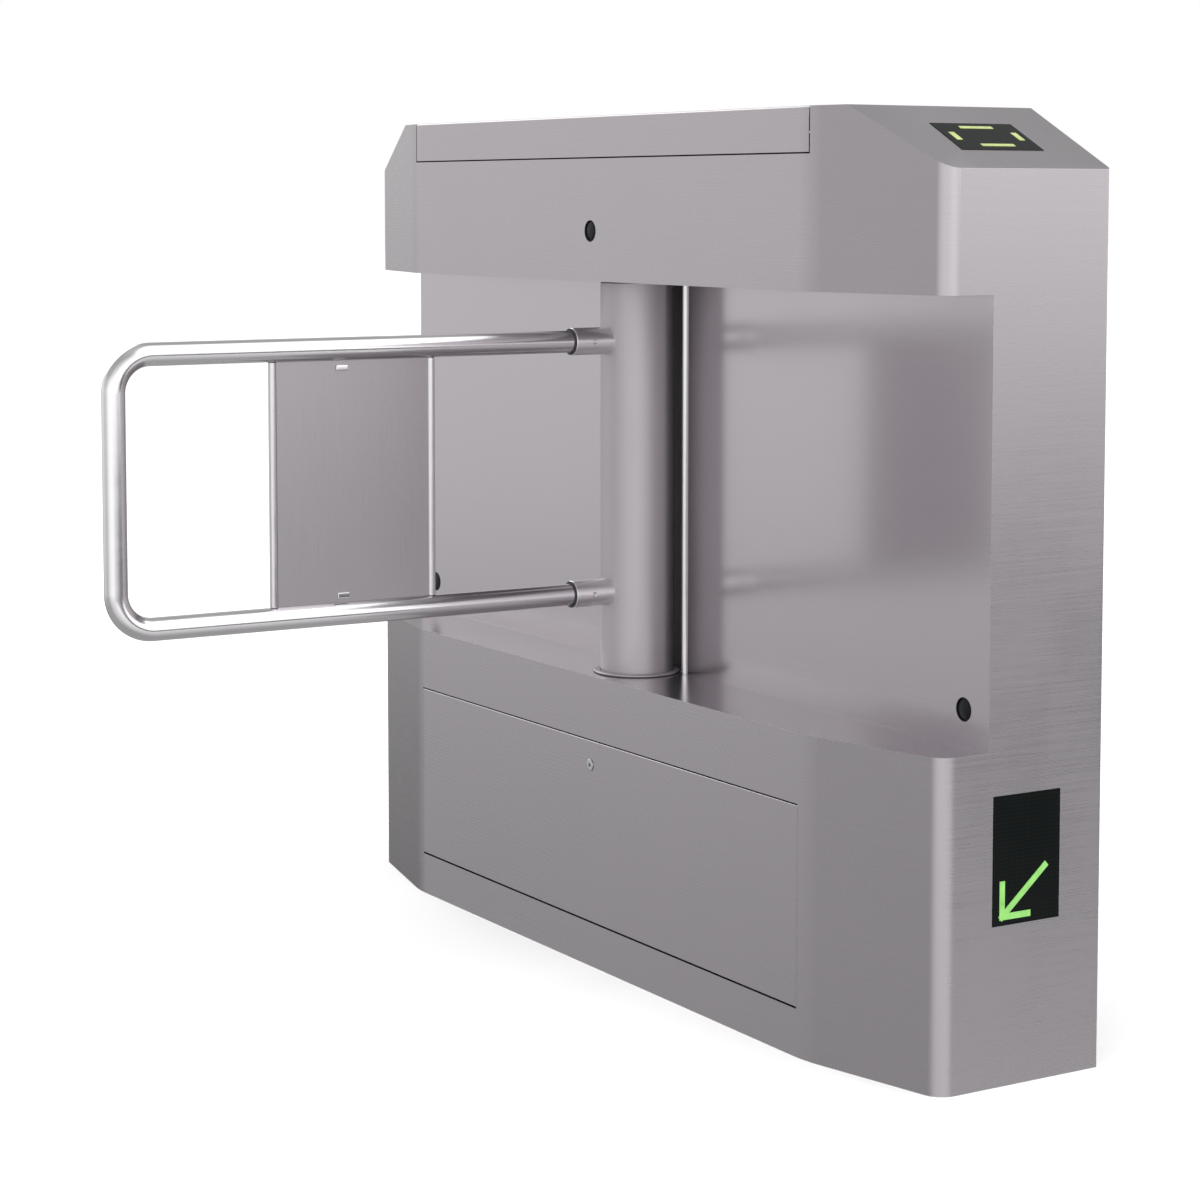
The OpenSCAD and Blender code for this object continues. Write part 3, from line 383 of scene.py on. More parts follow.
@dataclass
class Finishes:
    """Every finish of the barrier, built once."""

    casing: bpy.types.Material = field(init=False)
    casing_flat: bpy.types.Material = field(init=False)
    recess: bpy.types.Material = field(init=False)
    deck: bpy.types.Material = field(init=False)
    column: bpy.types.Material = field(init=False)
    panel: bpy.types.Material = field(init=False)
    tube: bpy.types.Material = field(init=False)
    sleeve: bpy.types.Material = field(init=False)
    trim: bpy.types.Material = field(init=False)
    zinc: bpy.types.Material = field(init=False)
    turned: bpy.types.Material = field(init=False)
    cast: bpy.types.Material = field(init=False)
    brass: bpy.types.Material = field(init=False)
    rubber: bpy.types.Material = field(init=False)
    bay_shade_black: bpy.types.Material = field(init=False)
    enamel: bpy.types.Material = field(init=False)
    plastic: bpy.types.Material = field(init=False)
    lens: bpy.types.Material = field(init=False)
    window: bpy.types.Material = field(init=False)
    green: bpy.types.Material = field(init=False)
    yellow: bpy.types.Material = field(init=False)
    board: bpy.types.Material = field(init=False)
    terminal: bpy.types.Material = field(init=False)

    def __post_init__(self) -> None:
        """Build the materials."""
        self.casing = BrushedSteel("casing_steel").material()
        self.casing_flat = BrushedSteel("casing_steel_flat", colour=(0.45, 0.425, 0.447), roughness=0.3,
                                        grain=Grain.LENGTHWISE).material()
        self.recess = BrushedSteel("recess_steel", colour=(0.44, 0.415, 0.437), roughness=0.17, cloud=0.02,
                                   contrast=0.02, depth=0.000004, anisotropic=0.4).material()
        # Same stainless as the casing, painted much lighter to stand for the light the deck catches in the recess:
        # painted light.
        self.deck = BrushedSteel("deck_steel", colour=(0.70, 0.672, 0.695), roughness=0.22,
                                 grain=Grain.LENGTHWISE).material()
        self.column = BrushedSteel("column_steel", colour=(0.42, 0.395, 0.417), roughness=0.5, grain=Grain.UPRIGHT,
                                   contrast=0.02, depth=0.000004, anisotropic=0.0, metallic=0.8).material()
        self.panel = BrushedSteel("panel_steel", colour=(0.40, 0.375, 0.397), roughness=0.3,
                                  grain=Grain.UPRIGHT, contrast=0.012, depth=0.000001).material()
        self.tube = PolishedSteel("tube_steel").material()
        # Polished steel like the tube, with its colour raised well above the tube's to carry the bright highlights of
        # the sleeves: real polish, partly painted highlight.
        self.sleeve = PolishedSteel("sleeve_steel", colour=(0.86, 0.845, 0.86), roughness=0.3).material()
        self.trim = PolishedSteel("trim_steel", colour=(0.60, 0.585, 0.60), roughness=0.2,
                                  lines=(700.0, 700.0, 6.0)).material()
        self.zinc = WorkshopMetal("zinc_plate", (0.52, 0.54, 0.56), 0.42, Grain.NONE).material()
        self.turned = WorkshopMetal("turned_steel", (0.56, 0.56, 0.57), 0.26).material()
        self.cast = WorkshopMetal("cast_aluminium", (0.62, 0.63, 0.64), 0.5, Grain.NONE).material()
        self.brass = WorkshopMetal("brass_sheet", (0.74, 0.55, 0.24), 0.3, Grain.NONE).material()
        self.rubber = Moulded("black_rubber", (0.018, 0.018, 0.019), 0.62).material()
        # Black lining of the column's pocket: painted shade for the deep slot between the column and the wall.
        self.bay_shade_black = Moulded("black_powder_coat", (0.09, 0.09, 0.092), 0.6).material()
        self.enamel = Moulded("motor_enamel", (0.022, 0.023, 0.026), 0.36, 400.0, coat=0.2).material()
        self.plastic = Moulded("black_plastic", (0.014, 0.014, 0.015), 0.42).material()
        self.lens = Moulded("sensor_lens", (0.004, 0.004, 0.005), 0.3, depth=0.000005, shine=0.12).material()
        self.window = SmokedWindow("smoked_window").material()
        self.green = LitLens("green_lens", (0.20, 0.47, 0.11), 0.3).material()
        self.yellow = LitLens("yellow_lens", (0.36, 0.42, 0.16), 0.3).material()
        self.board = CircuitBoard("circuit_board").material()
        self.terminal = Moulded("terminal_plastic", (0.03, 0.20, 0.09), 0.4).material()


# ---- Shaping ----


class Shaper:
    """Ways to shape a bmesh that several pieces share."""

    @staticmethod
    def cut(bm: bmesh.types.BMesh, co: Sequence[float], no: Sequence[float], test: Optional[Test] = None,
            clear: bool = False) -> None:
        """Cut faces along a plane.

        Args:
            bm: The mesh.
            co: A point of the plane.
            no: Its normal.
            test: Which faces to cut, by their middle; all of them if left out.
            clear: Whether to remove what lies on the normal's side.
        """
        faces = [f for f in bm.faces if test is None or test(f.calc_center_median())]
        geom = list({g for f in faces for g in (f, *f.edges, *f.verts)})
        bmesh.ops.bisect_plane(bm, geom=geom, dist=1e-6, plane_co=co, plane_no=no, clear_outer=clear)

    @staticmethod
    def drop(bm: bmesh.types.BMesh, test: Callable[[bmesh.types.BMFace], bool]) -> None:
        """Delete the faces that pass a test."""
        bmesh.ops.delete(bm, geom=[f for f in bm.faces if test(f)], context="FACES")

    @staticmethod
    def close(bm: bmesh.types.BMesh) -> None:
        """Fill every open loop and turn the faces outwards."""
        bmesh.ops.holes_fill(bm, edges=[e for e in bm.edges if e.is_boundary])
        bmesh.ops.recalc_face_normals(bm, faces=bm.faces)

    @staticmethod
    def fillet(bm: bmesh.types.BMesh, edges: Iterable[bmesh.types.BMEdge], offset: float, segments: int = 3) -> None:
        """Round edges off.

        Args:
            bm: The mesh.
            edges: The edges to round.
            offset: Distance from each edge to where its rounding begins.
            segments: Facets across the rounding.
        """
        bmesh.ops.bevel(bm, geom=list(edges), offset=offset, offset_type="OFFSET", segments=segments, profile=0.5,
                        affect="EDGES", clamp_overlap=True, material=-1)

    @staticmethod
    def folds(bm: bmesh.types.BMesh, angle: float = 20.0, test: Optional[Test] = None) -> list[bmesh.types.BMEdge]:
        """Edges where two faces meet at more than an angle in degrees, by the edge's middle."""
        return [e for e in bm.edges if len(e.link_faces) == 2 and e.calc_face_angle() > math.radians(angle)
                and (test is None or test((e.verts[0].co + e.verts[1].co) / 2))]

    @classmethod
    def block(cls, low: Sequence[float], high: Sequence[float], fillet: float = 0.0,
              segments: int = 2) -> bmesh.types.BMesh:
        """Box between two corners with rounded edges."""
        low, high = Vector(low), Vector(high)
        bm = bmesh.new()
        bmesh.ops.create_cube(bm, size=1.0)
        bmesh.ops.scale(bm, vec=high - low, verts=bm.verts)
        bmesh.ops.translate(bm, vec=(low + high) / 2, verts=bm.verts)
        if fillet:
            cls.fillet(bm, bm.edges[:], fillet, segments)
        return bm

    @staticmethod
    def lathe(profile: Sequence[tuple[float, float]], centre: Sequence[float], around: Around = Around.Z,
              steps: int = 64) -> bmesh.types.BMesh:
        """Spin a profile around an axis.

        Args:
            profile: Radius and height of each point, from the foot to the top.
            centre: Where height 0 lies.
            around: The axis that the heights run along.
            steps: Facets of the full turn.

        Returns:
            The turned mesh, closed where the profile meets the axis.
        """
        bm = bmesh.new()
        verts = [bm.verts.new((r, 0.0, h)) for r, h in profile]
        edges = [bm.edges.new(pair) for pair in zip(verts, verts[1:])]
        bmesh.ops.spin(bm, geom=verts + edges, cent=(0, 0, 0), axis=(0, 0, 1), angle=2 * math.pi, steps=steps,
                       use_merge=True)
        bmesh.ops.remove_doubles(bm, verts=bm.verts, dist=1e-6)
        bmesh.ops.recalc_face_normals(bm, faces=bm.faces)
        turn = Vector((0, 0, 1)).rotation_difference(Vector(around.value)).to_matrix()
        bmesh.ops.rotate(bm, cent=(0, 0, 0), matrix=turn, verts=bm.verts)
        bmesh.ops.translate(bm, vec=Vector(centre), verts=bm.verts)
        return bm

    @staticmethod
    def join(parts: Iterable[bmesh.types.BMesh]) -> bmesh.types.BMesh:
        """Put several meshes together as one."""
        whole = bmesh.new()
        for part in parts:
            mesh = bpy.data.meshes.new("part")
            part.to_mesh(mesh)
            part.free()
            whole.from_mesh(mesh)
            bpy.data.meshes.remove(mesh)
        return whole


def finish_piece(name: str, bm: bmesh.types.BMesh, materials: PieceMaterials, body: Body,
                 replaces: Sequence[str] = (), sheet: float = 0.0, edge: float = 0.0,
                 sharp: float = 35.0) -> bpy.types.Object:
    """Turn a mesh into a piece of the barrier.

    Args:
        name: The piece's name.
        bm: Its mesh, which is freed.
        materials: Its materials, in the order of the faces' material numbers.
        body: The body that it rides on.
        replaces: The nodes that it stands for.
        sheet: Thickness to give an open surface, inwards.
        edge: Size of the chamfer on the sheet's cut edges.
        sharp: Angle in degrees past which an edge is drawn sharp.

    Returns:
        The piece.
    """
    mesh = bpy.data.meshes.new(name)
    bm.to_mesh(mesh)
    bm.free()
    for material in materials:
        mesh.materials.append(material)
    piece = bpy.data.objects.new(name, mesh)
    bpy.context.scene.collection.objects.link(piece)
    if sheet:
        solid = piece.modifiers.new("wall", "SOLIDIFY")
        solid.thickness, solid.offset, solid.use_even_offset, solid.use_quality_normals = sheet, -1.0, True, True
    if edge:
        trim = piece.modifiers.new("edge", "BEVEL")
        trim.width, trim.segments, trim.limit_method, trim.angle_limit = edge, 2, "ANGLE", math.radians(50.0)
        trim.use_clamp_overlap = True
    if sheet or edge:
        graph = bpy.context.evaluated_depsgraph_get()
        baked = bpy.data.meshes.new_from_object(piece.evaluated_get(graph))
        piece.modifiers.clear()
        piece.data = baked
        bpy.data.meshes.remove(mesh)
        baked.name = name
        mesh = baked
    mesh.polygons.foreach_set("use_smooth", [True] * len(mesh.polygons))
    mesh.set_sharp_from_angle(angle=math.radians(sharp))
    weighted = piece.modifiers.new("normals", "WEIGHTED_NORMAL")
    weighted.keep_sharp, weighted.weight = True, 100
    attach(piece, body.value)
    if replaces:
        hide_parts(*replaces)
    LOG.info("%s: %d faces on %s", name, len(mesh.polygons), body.value)
    return piece


def dress(material: bpy.types.Material, *nodes: str) -> None:
    """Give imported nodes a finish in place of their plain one."""
    for node in nodes:
        thing = frame["nodes"][node]
        if not thing.material_slots:
            thing.data.materials.append(material)
        for holder in thing.material_slots:
            holder.material = material


# ---- Casing ----


@dataclass
class Plan:
    """Sizes that the casing, the lid and the door share, in metres."""

    flat_x: float = 426 * MM
    nose: float = 41 * MM
    corner_r: float = 22 * MM
    bend_r: float = 150 * MM
    rear_r: float = 5 * MM
    sheet: float = 1.5 * MM
    fold_r: float = 2.2 * MM
    slope_l: float = 125 * MM
    slope_h: float = 64 * MM
    rear_flange: float = 20 * MM
    end_x: float = field(init=False)
    front_y: float = field(init=False)
    back_y: float = field(init=False)
    wall_y: float = field(init=False)
    deck_z: float = field(init=False)
    soffit_z: float = field(init=False)
    top_z: float = field(init=False)

    def __post_init__(self) -> None:
        """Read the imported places."""
        wall_low, wall_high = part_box("recess_wall")
        self.end_x, self.wall_y = wall_high.x, wall_low.y
        self.deck_z, self.soffit_z = wall_low.z, wall_high.z
        shell_low, shell_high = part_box("lower_shell")
        self.front_y, self.back_y = shell_low.y, shell_high.y
        self.top_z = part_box("top_lid")[1].z

    @property
    def slope(self) -> float:
        """Angle of the end slopes, in radians."""
        return math.atan(self.slope_h / self.slope_l)

    def prism(self, low: float, high: float) -> bmesh.types.BMesh:
        """Closed block of the plan outline between two heights, with its rounded corners and bends."""
        bm = bmesh.new()
        nose_y = self.front_y + self.nose
        turn = math.atan(self.nose / (self.end_x - self.flat_x))
        right = [(self.flat_x, self.front_y), (self.end_x, nose_y), (self.end_x, self.back_y)]
        outline = right + [(-x, y) for x, y in reversed(right)]
        bm.faces.new([bm.verts.new((x, y, low)) for x, y in outline])
        grown = bmesh.ops.extrude_edge_only(bm, edges=bm.edges)
        bmesh.ops.translate(bm, vec=(0, 0, high - low),
                            verts=[g for g in grown["geom"] if isinstance(g, bmesh.types.BMVert)])
        Shaper.close(bm)
        rounds = ((right[0], self.bend_r, turn, 8), (right[1], self.corner_r, math.pi / 2 - turn, 12),
                  (right[2], self.rear_r, math.pi / 2, 6))
        for (x, y), radius, angle, segments in rounds:
            edges = [e for e in bm.edges if abs(e.verts[0].co.z - e.verts[1].co.z) > NEAR
                     and all(abs(abs(v.co.x) - x) < NEAR and abs(v.co.y - y) < NEAR for v in e.verts)]
            Shaper.fillet(bm, edges, radius * math.tan(angle / 2), segments)
        return bm


@dataclass
class Casing:
    """Folded casing: lower part, recess, spine and bridge, as one skin, with the rear cover."""

    plan: Plan
    finishes: Finishes
    seam_z: float = 932 * MM
    rear_seam_z: float = 962 * MM
    panel_top_z: float = 896 * MM
    bay_x: float = 44 * MM
    shaft_window: float = 19 * MM
    door_x: float = 415.5 * MM
    door_low: float = 51 * MM
    door_high: float = 266 * MM
    ridge_r: float = 14 * MM

    def build(self) -> None:
        """Make the skin, the bay behind the column and the rear cover."""
        self.make_skin()
        self.make_bay()
        self.make_rear()

    def block_with_recess(self) -> bmesh.types.BMesh:
        """Closed block of the whole cabinet with its slopes and its recess, with rounded folds."""
        plan = self.plan
        bm = plan.prism(0.0, plan.top_z)
        for side in (1, -1):
            Shaper.cut(bm, (side * (plan.end_x - plan.slope_l), 0, plan.top_z),
                       (side * math.sin(plan.slope), 0, math.cos(plan.slope)), clear=True)
            Shaper.close(bm)
        across = [e for e in Shaper.folds(bm) if abs(e.verts[0].co.z - e.verts[1].co.z) < NEAR
                  and abs(e.verts[0].co.x - e.verts[1].co.x) < NEAR and e.verts[0].co.z > plan.soffit_z]
        Shaper.fillet(bm, across, self.ridge_r * math.tan(plan.slope / 2), 5)
        for co, no in (((0, 0, plan.deck_z), (0, 0, 1)), ((0, 0, plan.soffit_z), (0, 0, 1)),
                       ((0, plan.wall_y, 0), (0, 1, 0))):
            Shaper.cut(bm, co, no)
        Shaper.drop(bm, lambda f: plan.deck_z < f.calc_center_median().z < plan.soffit_z
                    and f.calc_center_median().y < plan.wall_y - NEAR)
        crossings = []
        for z in (plan.deck_z, plan.soffit_z):
            ends = [min(bm.verts, key=lambda v, s=s, z=z: (v.co - Vector((s * plan.end_x, plan.wall_y, z))).length)
                    for s in (1, -1)]
            rim = [e for e in bm.edges if e.is_boundary and all(abs(v.co.z - z) < NEAR for v in e.verts)]
            crossing = bm.edges.new(ends)
            bmesh.ops.edgeloop_fill(bm, edges=rim + [crossing])
            crossings.append(crossing)
        sides = [e for e in bm.edges if e.is_boundary and e not in crossings]
        bmesh.ops.edgeloop_fill(bm, edges=sides + crossings)
        bmesh.ops.recalc_face_normals(bm, faces=bm.faces)
        Shaper.fillet(bm, Shaper.folds(bm, test=lambda c: c.z > NEAR), plan.fold_r)
        return bm

    def window(self, bm: bmesh.types.BMesh, test: Test, planes: Sequence[tuple[Sequence[float], Sequence[float]]],
               inside: Test) -> None:
        """Cut an opening.

        Args:
            bm: The mesh.
            test: Which faces to cut, by their middle.
            planes: A point and a normal of each plane that bounds the opening.
            inside: Whether a face's middle lies in the opening.
        """
        for co, no in planes:
            Shaper.cut(bm, co, no, test)
        Shaper.drop(bm, lambda f: test(f.calc_center_median()) and inside(f.calc_center_median()))

    def round_hole(self, bm: bmesh.types.BMesh, centre: Vector, radius: float) -> None:
        """Cut a round hole in an upright face that looks along -Y."""
        half = radius * 1.4
        on_face = lambda c: abs(c.y - centre.y) < NEAR
        self.window(bm, on_face, [((centre.x + s * half, 0, 0), (1, 0, 0)) for s in (1, -1)]
                    + [((0, 0, centre.z + s * half), (0, 0, 1)) for s in (1, -1)],
                    lambda c: abs(c.x - centre.x) < half and abs(c.z - centre.z) < half)
        rim = [e for e in bm.edges if e.is_boundary
               and all(abs(v.co.y - centre.y) < NEAR and max(abs(v.co.x - centre.x), abs(v.co.z - centre.z))
                       < half + NEAR for v in e.verts)]
        turn = Matrix.Rotation(math.pi / 2, 4, "X")
        ring = bmesh.ops.create_circle(bm, segments=40, radius=radius, matrix=Matrix.Translation(centre) @ turn)
        loop = list({e for v in ring["verts"] for e in v.link_edges})
        made = bmesh.ops.triangle_fill(bm, edges=rim + loop, use_beauty=True, use_dissolve=False,
                                       normal=(0, -1, 0))
        for face in [g for g in made["geom"] if isinstance(g, bmesh.types.BMFace)]:
            if face.normal.y > 0:
                face.normal_flip()

    def make_skin(self) -> None:
        """Open the block where the real casing is open, and give it the thickness of the sheet."""
        plan = self.plan
        bm = self.block_with_recess()
        lid_x, flange_x = plan.flat_x, plan.end_x - plan.rear_flange
        front = lambda c: c.y < plan.front_y + NEAR and c.z < plan.deck_z
        back = lambda c: c.y > plan.back_y - NEAR
        bridge = lambda c: c.z > plan.soffit_z + 0.02 and abs(c.x) < plan.end_x - plan.slope_l + 0.02
        upright = lambda x: ((x, 0, 0), (1, 0, 0))
        level = lambda z: ((0, 0, z), (0, 0, 1))
        Shaper.drop(bm, lambda f: f.calc_center_median().z < NEAR)
        self.window(bm, front, [upright(self.door_x), upright(-self.door_x), level(self.door_low),
                                level(self.door_high)],
                    lambda c: abs(c.x) < self.door_x and self.door_low < c.z < self.door_high)
        self.window(bm, back, [upright(flange_x), upright(-flange_x), level(self.panel_top_z)],
                    lambda c: abs(c.x) < flange_x and c.z < self.panel_top_z)
        self.window(bm, bridge, [upright(lid_x), upright(-lid_x), level(self.seam_z), level(self.rear_seam_z)],
                    lambda c: abs(c.x) < lid_x and (c.z > self.rear_seam_z or (c.z > self.seam_z and c.y < 0)))
        wall = lambda c: abs(c.y - plan.wall_y) < NEAR and plan.deck_z < c.z < plan.soffit_z
        self.window(bm, wall, [upright(self.bay_x), upright(-self.bay_x)], lambda c: abs(c.x) < self.bay_x)
        axis_y = Vector(self.column_axis()).y
        for z in (plan.deck_z, plan.soffit_z):
            self.window(bm, lambda c, z=z: abs(c.z - z) < NEAR and c.y < plan.wall_y,
                        [upright(self.shaft_window), upright(-self.shaft_window)]
                        + [((0, axis_y + s * self.shaft_window, 0), (0, 1, 0)) for s in (1, -1)],
                        lambda c: abs(c.x) < self.shaft_window and abs(c.y - axis_y) < self.shaft_window)
        self.open_displays(bm)
        for node in ("fascia_sensor", "wall_sensors"):
            low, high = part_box(node)
            spots = [0.0] if node == "fascia_sensor" else [1.0, -1.0]
            for spot in spots:
                nut = (high.z - low.z) / 2
                centre = Vector((spot * (high.x - nut), plan.front_y if spot == 0.0 else plan.wall_y,
                                 (low.z + high.z) / 2))
                self.round_hole(bm, centre, nut - 5 * MM + 0.3 * MM)
        self.choose_materials(bm)
        finish_piece("casing_skin", bm, [self.finishes.casing, self.finishes.casing_flat, self.finishes.recess,
                                         self.finishes.deck], Body.CABINET,
                     ["lower_shell", "deck_plate", "recess_wall", "spine_ends", "soffit_plate", "upper_shell"],
                     sheet=plan.sheet, edge=0.25 * MM)

    def column_axis(self) -> Sequence[float]:
        """A point on the axis that the column turns on."""
        return next(j["pos_m"] for j in frame["joints"] if j["name"] == "column_swing")

    def open_displays(self, bm: bmesh.types.BMesh) -> None:
        """Cut the openings of the direction and status displays."""
        plan = self.plan
        low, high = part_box("arrow_windows")
        self.window(bm, lambda c: abs(c.x) > plan.end_x - NEAR,
                    [((0, y, 0), (0, 1, 0)) for y in (low.y, high.y)]
                    + [((0, 0, z), (0, 0, 1)) for z in (low.z, high.z)],
                    lambda c: low.y < c.y < high.y and low.z < c.z < high.z)
        low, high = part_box("status_windows")
        length = 60 * MM
        for side in (1, -1):
            middle = Vector((side * (plan.end_x - plan.slope_l / 2), (low.y + high.y) / 2,
                             plan.top_z - plan.slope_h / 2))
            down = Vector((side * math.cos(plan.slope), 0, -math.sin(plan.slope)))
            on_slope = lambda c, s=side, m=middle: s * c.x > 0 and abs(
                (c - m).dot(Vector((s * math.sin(plan.slope), 0, math.cos(plan.slope))))) < NEAR
            self.window(bm, on_slope,
                        [(middle + down * length / 2, down), (middle - down * length / 2, down)]
                        + [((0, y, 0), (0, 1, 0)) for y in (low.y, high.y)],
                        lambda c, m=middle, d=down: abs((c - m).dot(d)) < length / 2 and low.y < c.y < high.y)

    def choose_materials(self, bm: bmesh.types.BMesh) -> None:
        """Brush upright faces level, flat faces lengthwise, and leave the recess wall finer."""
        plan = self.plan
        for face in bm.faces:
            middle = face.calc_center_median()
            # The deck's top takes the deck steel, a lighter copy of the casing steel that paints the light on the deck.
            if face.normal.z > 0.4 and abs(middle.z - plan.deck_z) < plan.fold_r:
                face.material_index = 3
            elif abs(face.normal.z) > 0.4:
                face.material_index = 1
            elif abs(middle.y - plan.wall_y) < 4 * MM and plan.deck_z < middle.z < plan.soffit_z \
                    and abs(middle.x) < plan.end_x - plan.fold_r:
                face.material_index = 2

    def make_bay(self) -> None:
        """Pocket behind the column lined in black as painted shade for the deep slot beside the column, with polished
        half-round strips on its edges.
        """
        low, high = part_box("column_bay")
        wall = self.plan.sheet
        bm = Shaper.block((low.x + wall, low.y, self.plan.deck_z), (high.x - wall, high.y - wall, self.plan.soffit_z))
        Shaper.drop(bm, lambda f: f.normal.y < -0.5)
        bmesh.ops.reverse_faces(bm, faces=bm.faces)
        finish_piece("column_bay_lining", bm, [self.finishes.bay_shade_black], Body.CABINET, ["column_bay"],
                     sheet=wall)
        low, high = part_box("bay_trims")
        radius = high.y - low.y
        parts = []
        for side in (1, -1):
            x = side * (high.x - radius)
            rod = Shaper.lathe([(0, low.z), (radius - 0.4 * MM, low.z), (radius, low.z + 0.4 * MM),
                                (radius, high.z - 0.4 * MM), (radius - 0.4 * MM, high.z), (0, high.z)],
                               (x, high.y, 0), steps=40)
            Shaper.cut(rod, (0, high.y, 0), (0, 1, 0), clear=True)
            Shaper.close(rod)
            parts.append(rod)
        finish_piece("bay_edge_strips", Shaper.join(parts), [self.finishes.trim], Body.CABINET,
                     ["bay_trims"])

    def make_rear(self) -> None:
        """Rear cover with button-head screws."""
        low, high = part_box("rear_panel")
        cover = Shaper.block(low, high, 0.4 * MM)
        finish_piece("rear_cover", cover, [self.finishes.casing], Body.CABINET, ["rear_panel"])
        low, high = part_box("rear_screws")
        head = 5 * MM
        heights = [60 * MM + i * (self.panel_top_z - 136 * MM) / 3 for i in range(4)]
        profile = [(0, high.y - 1.3 * MM), (1.5 * MM, high.y - 1.3 * MM), (1.6 * MM, high.y - 0.1 * MM),
                   (3.0 * MM, high.y), (4.4 * MM, high.y - 0.8 * MM), (head, high.y - 2.1 * MM), (0, high.y - 2.2 * MM)]
        parts = [Shaper.lathe(profile, (x, 0, z), Around.Y, 24) for x in (low.x + head, high.x - head)
                 for z in heights]
        finish_piece("rear_button_screws", Shaper.join(parts), [self.finishes.turned], Body.CABINET,
                     ["rear_screws"])


@dataclass
class Roof:
    """Lid of the bridge, with its hinge knuckles."""

    plan: Plan
    finishes: Finishes
    gap: float = 1.5 * MM
    skirt_low: float = 933.5 * MM
    rear_flange: float = 16 * MM
    end_flange: float = 12 * MM

    def build(self) -> None:
        """Make the lid as a shallow folded tray, and its knuckles."""
        plan = self.plan
        half = plan.flat_x - self.gap
        bm = plan.prism(0.0, plan.top_z)
        for co, no in (((half, 0, 0), (1, 0, 0)), ((-half, 0, 0), (-1, 0, 0)), ((0, 0, self.skirt_low), (0, 0, -1))):
            Shaper.cut(bm, co, no, clear=True)
            Shaper.close(bm)
        Shaper.fillet(bm, Shaper.folds(bm, test=lambda c: c.z > plan.top_z - NEAR), plan.fold_r)
        for level, test in ((plan.top_z - self.rear_flange, lambda c: c.y > plan.back_y - NEAR),
                            (plan.top_z - self.end_flange, lambda c: abs(c.x) > half - NEAR)):
            Shaper.cut(bm, (0, 0, level), (0, 0, 1), test)
            Shaper.drop(bm, lambda f, t=test, z=level: t(f.calc_center_median()) and f.calc_center_median().z < z)
        Shaper.drop(bm, lambda f: f.normal.z < -0.5)
        for face in bm.faces:
            face.material_index = 1 if face.normal.z > 0.4 else 0
        finish_piece("roof_lid", bm, [self.finishes.casing, self.finishes.casing_flat], Body.LID,
                     ["top_lid"], sheet=plan.sheet, edge=0.25 * MM)
        self.make_knuckles(half)

    def make_knuckles(self, half: float) -> None:
        """Middle knuckles of the lid's hinges and the straps that hold them."""
        pin = next(j["pos_m"] for j in frame["joints"] if j["name"] == "lid_hinge")
        width, radius = 19.4 * MM, 3.5 * MM
        parts = []
        for x in (-0.7 * half, 0.0, 0.7 * half):
            parts.append(Shaper.lathe([(1.6 * MM, 0), (radius - 0.3 * MM, 0), (radius, 0.3 * MM),
                                       (radius, width - 0.3 * MM), (radius - 0.3 * MM, width), (1.6 * MM, width),
                                       (1.6 * MM, 0)],
                                      (x - width / 2, pin[1], pin[2]), Around.X, 32))
            parts.append(Shaper.block((x - width / 2, self.plan.back_y - 0.2 * MM, pin[2] + 1 * MM),
                                      (x + width / 2, self.plan.back_y + 2 * MM, self.plan.top_z - 2 * MM),
                                      0.4 * MM))
        finish_piece("lid_hinge_knuckles", Shaper.join(parts), [self.finishes.trim], Body.LID)


